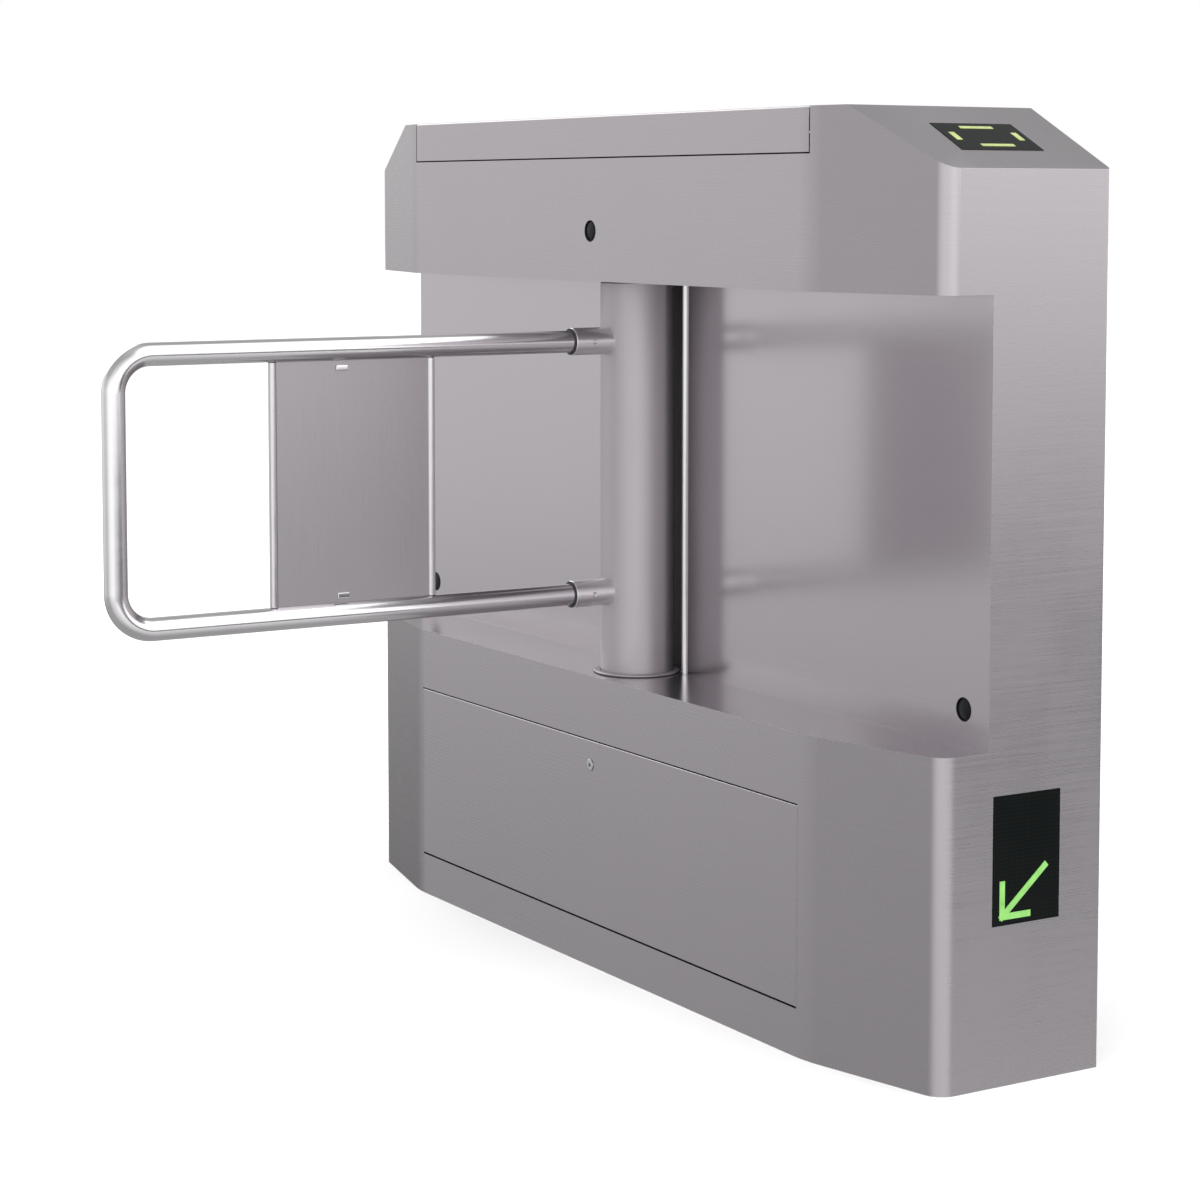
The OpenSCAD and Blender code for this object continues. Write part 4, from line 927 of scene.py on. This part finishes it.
@dataclass
class AccessDoor:
    """Door in the lower front, its hinge knuckles and its lock."""

    plan: Plan
    finishes: Finishes

    def build(self) -> None:
        """Make the door pan, its knuckles and the lock."""
        plan = self.plan
        low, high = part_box("access_door")
        pan_back = plan.front_y + 10 * MM
        bm = plan.prism(0.0, plan.deck_z)
        for co, no in (((high.x, 0, 0), (1, 0, 0)), ((low.x, 0, 0), (-1, 0, 0)), ((0, 0, high.z), (0, 0, 1)),
                       ((0, 0, low.z), (0, 0, -1)), ((0, pan_back, 0), (0, 1, 0))):
            Shaper.cut(bm, co, no, clear=True)
            Shaper.close(bm)
        Shaper.fillet(bm, Shaper.folds(bm, test=lambda c: c.y < pan_back - 1 * MM), 1.2 * MM)
        Shaper.drop(bm, lambda f: f.normal.y > 0.5)
        foot = lambda c: c.z < low.z + NEAR
        for hinge in (-0.72, 0.72):
            for offset in (-17.5, 10.5):
                x0 = hinge * 415.5 * MM + offset * MM
                x1 = x0 + 7 * MM
                for x in (x0, x1):
                    Shaper.cut(bm, (x, 0, 0), (1, 0, 0), foot)
                Shaper.drop(bm, lambda f, a=x0, b=x1: foot(f.calc_center_median())
                            and a < f.calc_center_median().x < b)
        finish_piece("door_pan", bm, [self.finishes.casing], Body.DOOR, ["access_door"],
                     sheet=plan.sheet, edge=0.25 * MM)
        self.make_knuckles()
        self.make_lock()

    def make_knuckles(self) -> None:
        """Knuckles welded behind the door's lower edge, and the boss of the lock."""
        pin = next(j["pos_m"] for j in frame["joints"] if j["name"] == "door_hinge")
        lock = next(j["pos_m"] for j in frame["joints"] if j["name"] == "lock_turn")
        front, radius, width = self.plan.front_y, 4 * MM, 20 * MM
        parts = []
        for x in (-0.72 * 415.5 * MM, 0.72 * 415.5 * MM):
            parts.append(Shaper.lathe([(2.05 * MM, 0), (radius - 0.3 * MM, 0), (radius, 0.3 * MM),
                                       (radius, width - 0.3 * MM), (radius - 0.3 * MM, width), (2.05 * MM, width),
                                       (2.05 * MM, 0)], (x - width / 2, pin[1], pin[2]), Around.X, 32))
            parts.append(Shaper.block((x - width / 2, front + 1.4 * MM, pin[2] - radius),
                                      (x + width / 2, pin[1] - 2.5 * MM, pin[2] + radius), 0.3 * MM))
        parts.append(Shaper.lathe([(5.1 * MM, 1.4 * MM), (10 * MM, 1.4 * MM), (10 * MM, 10.4 * MM),
                                   (9.4 * MM, 11 * MM), (5.1 * MM, 11 * MM), (5.1 * MM, 1.4 * MM)],
                                  (lock[0], front, lock[2]), Around.Y, 40))
        finish_piece("door_knuckles_and_boss", Shaper.join(parts), [self.finishes.zinc], Body.DOOR)

    def make_lock(self) -> None:
        """Barrel with a rounded head, a black bar as painted shade for its key slot, and the cam behind the door."""
        low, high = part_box("door_lock")
        lock = next(j["pos_m"] for j in frame["joints"] if j["name"] == "lock_turn")
        centre = (lock[0], low.y, lock[2])
        head = Shaper.lathe([(0, 1.0 * MM), (1.9 * MM, 1.0 * MM), (2.1 * MM, 0.15 * MM), (5.6 * MM, 0),
                             (6.6 * MM, 0.2 * MM), (7 * MM, 0.5 * MM), (7 * MM, 0.9 * MM), (5 * MM, 0.9 * MM),
                             (5 * MM, high.y - low.y), (0, high.y - low.y)], centre, Around.Y, 48)
        cam = Shaper.block((-7 * MM, high.y - 2.5 * MM, lock[2] - 7 * MM), (high.x, high.y, lock[2] + 7 * MM),
                           0.4 * MM)
        # Black bar in the head's dish: painted shade of the key slot.
        keyway_shade = Shaper.block((-0.35 * MM, low.y + 0.35 * MM, lock[2] - 1.6 * MM),
                              (0.35 * MM, low.y + 1.05 * MM, lock[2] + 1.6 * MM))
        for face in keyway_shade.faces:
            face.material_index = 1
        finish_piece("door_cam_lock", Shaper.join([head, cam, keyway_shade]), [self.finishes.turned, self.finishes.plastic],
                     Body.LOCK, ["door_lock"])


@dataclass
class Displays:
    """Direction displays on the ends and status displays on the slopes."""

    plan: Plan
    finishes: Finishes

    def build(self) -> None:
        """Make the windows and the lit bars."""
        plan = self.plan
        low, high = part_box("arrow_windows")
        depth = 3.5 * MM
        windows = [Shaper.block((min(s * high.x, s * (high.x - depth - 0.5 * MM)), low.y, low.z),
                                (max(s * high.x, s * (high.x - depth - 0.5 * MM)), high.y, high.z), 0.4 * MM)
                   for s in (1, -1)]
        finish_piece("direction_windows", Shaper.join(windows), [self.finishes.window], Body.CABINET,
                     ["arrow_windows"])
        low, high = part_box("status_windows")
        width = high.y - low.y
        panes, bars = [], []
        for side in (1, -1):
            place = self.on_slope(side, (low.y + high.y) / 2)
            pane = Shaper.block((-29.9 * MM, -width / 2, -3.5 * MM), (29.9 * MM, width / 2, 0.5 * MM), 0.4 * MM)
            bmesh.ops.transform(pane, matrix=place, verts=pane.verts)
            panes.append(pane)
            for end in (-1, 1):
                across = Shaper.block((end * 19.8 * MM - 2.5 * MM, -20.8 * MM, 0.3 * MM),
                                      (end * 19.8 * MM + 2.5 * MM, 20.8 * MM, 1.1 * MM), 0.38 * MM, 3)
                along = Shaper.block((-8.4 * MM, end * 39.5 * MM - 3.5 * MM, 0.3 * MM),
                                     (8.4 * MM, end * 39.5 * MM + 3.5 * MM, 1.1 * MM), 0.38 * MM, 3)
                for bar in (across, along):
                    bmesh.ops.transform(bar, matrix=place, verts=bar.verts)
                    bars.append(bar)
        finish_piece("status_panes", Shaper.join(panes), [self.finishes.window], Body.CABINET,
                     ["status_windows"])
        finish_piece("status_light_bars", Shaper.join(bars), [self.finishes.yellow], Body.CABINET,
                     ["status_bars"])
        dress(self.finishes.green, "arrow_symbols")
        dress(self.finishes.board, "arrow_boards", "status_boards")

    def on_slope(self, side: int, y: float) -> Matrix:
        """Frame in the middle of a slope: +X runs down the slope, +Z leaves the sheet."""
        plan = self.plan
        middle = (side * (plan.end_x - plan.slope_l / 2), y, plan.top_z - plan.slope_h / 2)
        tilt = Matrix.Rotation(plan.slope, 4, "Y")
        if side < 0:
            tilt = Matrix.Rotation(math.pi, 4, "Z") @ tilt
        return Matrix.Translation(middle) @ tilt


@dataclass
class Sensors:
    """Round sensors: a plain barrel with a round nut, and a slightly domed lens behind a fine bezel."""

    plan: Plan
    finishes: Finishes

    def build(self) -> None:
        """Make the three sensors."""
        low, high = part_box("fascia_sensor")
        nut = (high.z - low.z) / 2
        self.make("fascia_eye", [Vector((0, self.plan.front_y, (low.z + high.z) / 2))], nut, high.y - low.y,
                  "fascia_sensor")
        low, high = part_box("wall_sensors")
        places = [Vector((s * (high.x - nut), self.plan.wall_y, (low.z + high.z) / 2)) for s in (1, -1)]
        self.make("recess_eyes", places, nut, high.y - low.y, "wall_sensors")

    def make(self, name: str, places: Sequence[Vector], nut: float, depth: float, node: str) -> None:
        """Make sensors of one kind.

        Args:
            name: The piece's name.
            places: Where each lens's face lies.
            nut: Radius of the nut.
            depth: Depth of the barrel.
            node: The node that the piece stands for.
        """
        radius = nut - 5 * MM
        lens = [(0, 0.35 * MM), (radius * 0.5, 0.55 * MM), (radius * 0.8, 1.2 * MM), (radius - 1.2 * MM, 1.9 * MM),
                (radius - 0.9 * MM, 0.5 * MM), (radius - 0.3 * MM, 0.3 * MM), (radius, 0.6 * MM),
                (radius, 1.6 * MM), (nut, 1.6 * MM), (nut, 6.4 * MM), (radius, 6.5 * MM), (radius, depth),
                (0, depth)]
        parts = [Shaper.lathe(lens, place, Around.Y, 48) for place in places]
        bm = Shaper.join(parts)
        for face in bm.faces:
            face.material_index = 1
        finish_piece(name, bm, [self.finishes.plastic, self.finishes.lens], Body.CABINET, [node])


@dataclass
class Column:
    """Turning column with the ring round its foot."""

    finishes: Finishes

    def build(self) -> None:
        """Make the tube with rolled lips, the ring, and the black band under the ring that paints its shadow line."""
        axis = next(j["pos_m"] for j in frame["joints"] if j["name"] == "column_swing")
        low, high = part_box("swing_column")
        radius, lip, wall = high.x, 0.8 * MM, 2 * MM
        tube = Shaper.lathe([(radius - wall, low.z), (radius - lip, low.z), (radius - 0.2 * MM, low.z + 0.3 * MM),
                             (radius, low.z + lip), (radius, high.z - lip), (radius - 0.2 * MM, high.z - 0.3 * MM),
                             (radius - lip, high.z), (radius - wall, high.z), (radius - wall, low.z)],
                            (axis[0], axis[1], 0), steps=128)
        finish_piece("column_tube", tube, [self.finishes.column], Body.COLUMN, ["swing_column"])
        low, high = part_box("base_ring")
        outer, inner, seat = high.x, radius + 0.6 * MM, low.z + 1.1 * MM
        # Black rubber band under the steel ring: painted shadow line where the ring meets the deck.
        shade_gasket = Shaper.lathe([(inner, low.z), (outer, low.z), (outer, seat - 0.2 * MM), (outer - 0.2 * MM, seat),
                               (inner, seat), (inner, low.z)], (axis[0], axis[1], 0), steps=96)
        finish_piece("foot_gasket", shade_gasket, [self.finishes.rubber], Body.CABINET, ["base_ring"])
        ring = Shaper.lathe([(inner, seat), (outer - 0.4 * MM, seat), (outer - 0.4 * MM, high.z - 0.9 * MM),
                             (outer - 1.0 * MM, high.z - 0.2 * MM), (outer - 1.8 * MM, high.z),
                             (inner + 0.4 * MM, high.z), (inner, high.z - 0.4 * MM), (inner, seat)],
                            (axis[0], axis[1], 0), steps=96)
        finish_piece("foot_ring", ring, [self.finishes.column], Body.CABINET, ["base_ring"])


@dataclass
class SwingArm:
    """Bent tube of the arm with its sockets, panel, edge channels and clips."""

    finishes: Finishes
    bend_r: float = 40 * MM
    tube_r: float = 12.5 * MM

    def build(self) -> None:
        """Make the arm's pieces."""
        self.make_tube()
        self.make_sockets()
        self.make_panel()

    def make_tube(self) -> None:
        """Sweep a circle along the level runs, the bends and the upright leg."""
        low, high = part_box("arm_tube")
        leg_y, low_z, high_z = low.y + self.tube_r, low.z + self.tube_r, high.z - self.tube_r
        bm = bmesh.new()
        turn = Matrix.Rotation(math.pi / 2, 4, "X")
        ring = bmesh.ops.create_circle(bm, segments=40, radius=self.tube_r, cap_ends=True,
                                       matrix=Matrix.Translation((0, high.y, high_z)) @ turn)
        loop = list({e for v in ring["verts"] for e in v.link_edges})
        run = leg_y + self.bend_r - high.y
        loop = self.push(bm, loop, (0, run, 0))
        loop = self.turn(bm, loop, (0, leg_y + self.bend_r, high_z - self.bend_r))
        loop = self.push(bm, loop, (0, 0, -(high_z - low_z - 2 * self.bend_r)))
        loop = self.turn(bm, loop, (0, leg_y + self.bend_r, low_z + self.bend_r))
        self.push(bm, loop, (0, -run, 0))
        bmesh.ops.remove_doubles(bm, verts=bm.verts, dist=1e-6)
        Shaper.close(bm)
        finish_piece("arm_bent_tube", bm, [self.finishes.tube], Body.COLUMN, ["arm_tube"])

    @staticmethod
    def push(bm: bmesh.types.BMesh, loop: Sequence[bmesh.types.BMEdge],
             vec: Sequence[float]) -> list[bmesh.types.BMEdge]:
        """Extend the open end of a tube in a straight line and return its new end."""
        grown = bmesh.ops.extrude_edge_only(bm, edges=loop)["geom"]
        verts = [g for g in grown if isinstance(g, bmesh.types.BMVert)]
        bmesh.ops.translate(bm, vec=vec, verts=verts)
        ends = set(verts)
        return [g for g in grown if isinstance(g, bmesh.types.BMEdge) and set(g.verts) <= ends]

    @staticmethod
    def turn(bm: bmesh.types.BMesh, loop: Sequence[bmesh.types.BMEdge],
             centre: Sequence[float]) -> list[bmesh.types.BMEdge]:
        """Extend the open end of a tube by a quarter bend about an axis along X and return its new end."""
        made = bmesh.ops.spin(bm, geom=list(loop), cent=centre, axis=(1, 0, 0), angle=math.pi / 2, steps=16,
                              use_merge=False)
        return [g for g in made["geom_last"] if isinstance(g, bmesh.types.BMEdge)]

    def make_sockets(self) -> None:
        """Sleeves on the column with a fine rim, black rings in their mouths as painted shade of the gap, and their set
        screws.
        """
        low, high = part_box("arm_sockets")
        radius = high.x
        screws_low, screws_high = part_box("socket_screws")
        parts, shade_rings, screws = [], [], []
        for z in (low.z + radius, high.z - radius):
            sleeve = Shaper.lathe([(self.tube_r, 1.2 * MM), (radius - 0.5 * MM, 1.2 * MM), (radius, 1.7 * MM),
                                   (radius, high.y - low.y), (0, high.y - low.y)], (0, low.y, z), Around.Y, 56)
            parts.append(sleeve)
            # Black rubber ring in the sleeve's mouth: painted shade of the gap between tube and sleeve.
            shade_rings.append(Shaper.lathe([(self.tube_r, 0), (radius - 0.9 * MM, 0), (radius - 0.4 * MM, 0.5 * MM),
                                       (radius - 0.4 * MM, 1.2 * MM), (self.tube_r, 1.2 * MM), (self.tube_r, 0)],
                                      (0, low.y, z), Around.Y, 56))
            y = (screws_low.y + screws_high.y) / 2
            screws.append(Shaper.lathe([(0, 0), (1.2 * MM, 0), (1.5 * MM, 1.4 * MM), (2.6 * MM, 1.6 * MM),
                                        (2.8 * MM, 1.4 * MM), (3 * MM, 0.6 * MM), (3 * MM, -1.5 * MM), (0, -1.5 * MM)],
                                       (screws_high.x - 1.3 * MM, y, z), Around.X, 24))
        finish_piece("arm_sleeves", Shaper.join(parts), [self.finishes.sleeve], Body.COLUMN,
                     ["arm_sockets"])
        finish_piece("sleeve_seals", Shaper.join(shade_rings), [self.finishes.rubber], Body.COLUMN,
                     ["arm_sockets"])
        finish_piece("sleeve_screws", Shaper.join(screws), [self.finishes.turned], Body.COLUMN,
                     ["socket_screws"])

    def make_panel(self) -> None:
        """Sheet between the tubes, its round edge channels and the clips."""
        low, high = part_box("arm_panel")
        finish_piece("arm_sheet", Shaper.block(low, high, 0.3 * MM), [self.finishes.panel], Body.COLUMN,
                     ["arm_panel"])
        low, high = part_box("panel_channels")
        radius = high.x
        rods = [Shaper.lathe([(0, low.z), (radius - 0.5 * MM, low.z), (radius, low.z + 0.5 * MM),
                              (radius, high.z - 0.5 * MM), (radius - 0.5 * MM, high.z), (0, high.z)],
                             (0, y, 0), steps=36) for y in (low.y + radius, high.y - radius)]
        finish_piece("panel_edge_channels", Shaper.join(rods), [self.finishes.trim], Body.COLUMN,
                     ["panel_channels"])
        low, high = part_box("panel_clips")
        thick, tall = 3 * MM, 6 * MM
        clips = [Shaper.block((x, low.y, z), (x + thick, high.y, z + tall), 0.8 * MM, 3)
                 for x in (low.x, high.x - thick) for z in (low.z, high.z - tall)]
        finish_piece("panel_corner_clips", Shaper.join(clips), [self.finishes.tube], Body.COLUMN,
                     ["panel_clips"])


@dataclass
class Machinery:
    """Drive, bearings, frame and electrical equipment inside the casing."""

    finishes: Finishes

    def build(self) -> None:
        """Make the finned motor and the gearbox with its split line, and dress the other inner parts."""
        self.make_motor()
        fin = self.finishes
        dress(fin.zinc, "base_plate", "lower_bearing_plate", "mechanism_plate", "motor_bracket", "sensor_bracket",
              "equipment_plate", "stop_blocks", "column_caps", "door_hinge_posts", "frame_posts", "frame_rails")
        dress(fin.turned, "lower_bearing", "upper_bearing", "main_shaft", "drive_wheel", "drive_pinion",
              "stop_lever", "door_hinge_pins", "lid_hinge_pins")
        dress(fin.trim, "lid_hinge_leaves")
        dress(fin.cast, "lower_bearing_housing", "upper_bearing_housing", "power_supply")
        dress(fin.enamel, "brake_body")
        dress(fin.rubber, "cable_grommet", "stop_buffers")
        dress(fin.plastic, "position_sensors")
        dress(fin.brass, "position_disc")
        dress(fin.board, "control_board")
        dress(fin.terminal, "terminal_strip")

    def make_motor(self) -> None:
        """Motor with cooling fins and a stepped, chamfered cap, over a gearbox with a split line."""
        axis = next(j["pos_m"] for j in frame["joints"] if j["name"] == "pinion_spin")
        low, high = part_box("drive_motor")
        radius = (high.x - low.x) / 2
        profile = [(0, low.z), (radius, low.z), (radius, low.z + 4 * MM)]
        z = low.z + 4 * MM
        while z < high.z - 12 * MM:
            profile += [(radius - 2.5 * MM, z), (radius - 2.5 * MM, z + 2 * MM), (radius, z + 2 * MM),
                        (radius, z + 4 * MM)]
            z += 4 * MM
        cap = radius - 6 * MM
        profile += [(radius, high.z - 7 * MM), (radius - 1 * MM, high.z - 6 * MM), (cap, high.z - 6 * MM),
                    (cap, high.z - 1.5 * MM), (cap - 1.5 * MM, high.z), (0, high.z)]
        finish_piece("finned_motor", Shaper.lathe(profile, (axis[0], axis[1], 0)), [self.finishes.enamel],
                     Body.CABINET, ["drive_motor"], sharp=30.0)
        low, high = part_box("gearbox")
        radius = (high.x - low.x) / 2
        foot, middle = low.z + 6 * MM, (low.z + high.z) / 2 + 3 * MM
        profile = [(6.03 * MM, low.z), (15.8 * MM, low.z), (15.8 * MM, foot), (radius - 0.8 * MM, foot),
                   (radius, foot + 0.8 * MM), (radius, middle - 0.6 * MM), (radius - 0.8 * MM, middle),
                   (radius, middle + 0.6 * MM), (radius, high.z - 0.8 * MM), (radius - 0.8 * MM, high.z),
                   (0, high.z), (0, low.z + 24 * MM), (6.03 * MM, low.z + 24 * MM), (6.03 * MM, low.z)]
        finish_piece("reduction_gearbox", Shaper.lathe(profile, (axis[0], axis[1], 0)), [self.finishes.cast],
                     Body.CABINET, ["gearbox"], sharp=30.0)


@dataclass
class Room(Nodes):
    """Nodes of the surroundings, toned by direction."""

    world: bpy.types.World = field(init=False)
    background: bpy.types.ShaderNode = field(init=False)

    def __post_init__(self) -> None:
        """Start the world with its plain background."""
        self.world = bpy.data.worlds.new(self.name)
        self.world.use_nodes = True
        self.tree = self.world.node_tree
        self.background = self.tree.nodes["Background"]

    def toward(self, direction: Sequence[float]) -> bpy.types.NodeSocket:
        """How nearly a ray points in a direction: 1 along it, 0 across it."""
        node = self.add("ShaderNodeVectorMath", operation="DOT_PRODUCT")
        self.link(self.add("ShaderNodeTexCoord").outputs["Generated"], node.inputs[0])
        node.inputs[1].default_value = Vector(direction).normalized()
        return node.outputs["Value"]

    def patch(self, direction: Sequence[float], width: float, strength: float,
              core: float = 0.0) -> bpy.types.NodeSocket:
        """Soft patch of light.

        Args:
            direction: Where its middle lies.
            width: Angle from its middle to its edge, in degrees.
            strength: Light at its middle; below 0 it takes light away.
            core: Angle from its middle to where it begins to fade, in degrees.

        Returns:
            The patch's light.
        """
        node = self.add("ShaderNodeMapRange", interpolation_type="SMOOTHSTEP")
        node.inputs["From Min"].default_value = math.cos(math.radians(width))
        node.inputs["From Max"].default_value = math.cos(math.radians(core))
        node.inputs["To Max"].default_value = strength
        self.link(self.toward(direction), node.inputs["Value"])
        return node.outputs["Result"]

    def bands(self, stops: Sequence[tuple[float, float]]) -> bpy.types.NodeSocket:
        """Light by height: each stop is an elevation in degrees and the light there."""
        node = self.add("ShaderNodeValToRGB")
        ramp = node.color_ramp
        ramp.interpolation = "EASE"
        spots = [((math.sin(math.radians(angle)) + 1) / 2, light / 4) for angle, light in stops]
        while len(ramp.elements) < len(spots):
            ramp.elements.new(0.5)
        for element, (position, light) in zip(ramp.elements, spots):
            element.position = position
            element.color = (light, light, light, 1.0)
        half = self.maths("MULTIPLY_ADD", self.toward((0, 0, 1)), 0.5)
        half.node.inputs[2].default_value = 0.5
        self.link(half, node.inputs["Fac"])
        return self.maths("MULTIPLY", node.outputs["Color"], 4.0)


@dataclass
class Studio:
    """Pale floor, soft surroundings, lights and the camera."""

    place: tuple[float, float, float] = (2.7762, -1.7971, 0.8865)
    tilt: float = 85.32
    heading: float = 58.71
    lens: float = 85.47
    rise: float = -0.14
    beside: tuple[float, float, float] = (0.855, 0.518, 0.0)
    around: tuple[tuple[float, float], ...] = ((-90, 0.42), (-25, 0.47), (-15, 0.56), (-10, 0.69), (-5, 0.98),
                                               (2, 1.05), (14, 0.92), (32, 0.52), (60, 0.48), (90, 0.65))
    aside: tuple[tuple[float, float], ...] = ((-90, 0.45), (-24, 0.80), (-17, 1.10), (-13, 0.10), (-5.5, 0.03),
                                              (-3, 1.6), (3, 1.75), (18, 1.2), (50, 0.7), (90, 0.7))

    def build(self) -> None:
        """Make the floor, the surroundings, the lights and the camera."""
        self.make_floor()
        self.make_room()
        self.add_light("key_softbox", (0.8, -3.4, 4.2), (0.0, 0.0, 0.3), 3.0, 60.0)
        self.add_light("fill_softbox", (-3.4, -0.4, 4.0), (0.0, 0.0, 0.3), 3.0, 40.0)
        self.add_sun("overhead_sky", (0.25, -0.35, 1.0), 50.0, 1.3)
        data = bpy.data.cameras.new("view_camera")
        data.lens, data.sensor_width, data.shift_y = self.lens, 36.0, self.rise
        camera = bpy.data.objects.new("view_camera", data)
        camera.location = self.place
        camera.rotation_euler = (math.radians(self.tilt), 0.0, math.radians(self.heading))
        bpy.context.scene.collection.objects.link(camera)
        bpy.context.scene.camera = camera
        bpy.context.scene.view_settings.view_transform = "Standard"

    def make_floor(self) -> None:
        """Wide pale floor, which the steel doesn't mirror."""
        bm = bmesh.new()
        bmesh.ops.create_grid(bm, x_segments=1, y_segments=1, size=40.0)
        mesh = bpy.data.meshes.new("studio_floor")
        bm.to_mesh(mesh)
        bm.free()
        nodes = Nodes("studio_floor")
        grain = nodes.noise((3.0, 3.0, 3.0), detail=3.0)
        nodes.link(nodes.blend(grain, (0.82, 0.82, 0.82), (0.84, 0.84, 0.84)), nodes.shader.inputs["Base Color"])
        nodes.set(Roughness=0.9, Specular_IOR_Level=0.2)
        mesh.materials.append(nodes.material)
        floor = bpy.data.objects.new("studio_floor", mesh)
        bpy.context.scene.collection.objects.link(floor)
        floor.visible_glossy = False

    def make_room(self) -> None:
        """Plain white backdrop, with the soft tones of a room in what the steel mirrors."""
        room = Room("studio_room")
        share = room.patch(self.beside, 75.0, 1.0, 35.0)
        rest = room.maths("SUBTRACT", 1.0, share)
        light = room.maths("ADD", room.maths("MULTIPLY", room.bands(self.around), rest),
                           room.maths("MULTIPLY", room.bands(self.aside), share))
        for patch in (room.patch((0.45, 0.518, 0.73), 40.0, 1.9, 8.0),
                      room.patch((0.855, -0.6, 0.0), 62.0, 0.5, 14.0),
                      room.patch((-0.35, -0.93, 0.12), 28.0, -0.2),
                      room.patch((-0.82, -0.15, 0.55), 26.0, 2.4, 6.0),
                      room.patch((-1.0, -0.05, -0.24), 24.0, -0.35, 5.0),
                      room.patch((-0.855, 0.518, 0.05), 20.0, -0.7, 4.0)):
            light = room.maths("ADD", light, patch)
        light = room.maths("MAXIMUM", light, 0.08)
        seen = room.add("ShaderNodeLightPath").outputs["Is Camera Ray"]
        unseen = room.maths("SUBTRACT", 1.0, seen)
        strength = room.maths("ADD", room.maths("MULTIPLY", light, unseen), seen)
        room.link(strength, room.background.inputs["Strength"])
        room.background.inputs["Color"].default_value = (1.0, 1.0, 1.0, 1.0)
        bpy.context.scene.world = room.world

    def add_light(self, name: str, place: Sequence[float], aim: Sequence[float], size: float, power: float) -> None:
        """Add a square soft light.

        Args:
            name: The light's name.
            place: Where it stands.
            aim: The point that it looks at.
            size: Its side in metres.
            power: Its power in watts.
        """
        data = bpy.data.lights.new(name, "AREA")
        data.size, data.energy = size, power
        self.put(bpy.data.objects.new(name, data), place, aim)

    def add_sun(self, name: str, place: Sequence[float], spread: float, power: float) -> None:
        """Add an even light from far away, over a spread of directions in degrees."""
        data = bpy.data.lights.new(name, "SUN")
        data.angle, data.energy = math.radians(spread), power
        self.put(bpy.data.objects.new(name, data), place, (0.0, 0.0, 0.0))

    @staticmethod
    def put(light: bpy.types.Object, place: Sequence[float], aim: Sequence[float]) -> None:
        """Stand a light at a place, looking at a point; it shines but isn't mirrored."""
        light.location = place
        light.rotation_euler = (Vector(aim) - Vector(place)).to_track_quat("-Z", "Y").to_euler()
        light.visible_glossy = False
        light.visible_camera = False
        bpy.context.scene.collection.objects.link(light)


def main() -> None:
    """Build the barrier's looks, part by part."""
    logging.basicConfig(level=logging.INFO, format="%(message)s")
    plan = Plan()
    finishes = Finishes()
    for part in (Casing(plan, finishes), Roof(plan, finishes), AccessDoor(plan, finishes), Displays(plan, finishes),
                 Sensors(plan, finishes), Column(finishes), SwingArm(finishes), Machinery(finishes), Studio()):
        LOG.info("building %s", type(part).__name__)
        part.build()


if __name__ == "__main__":
    main()
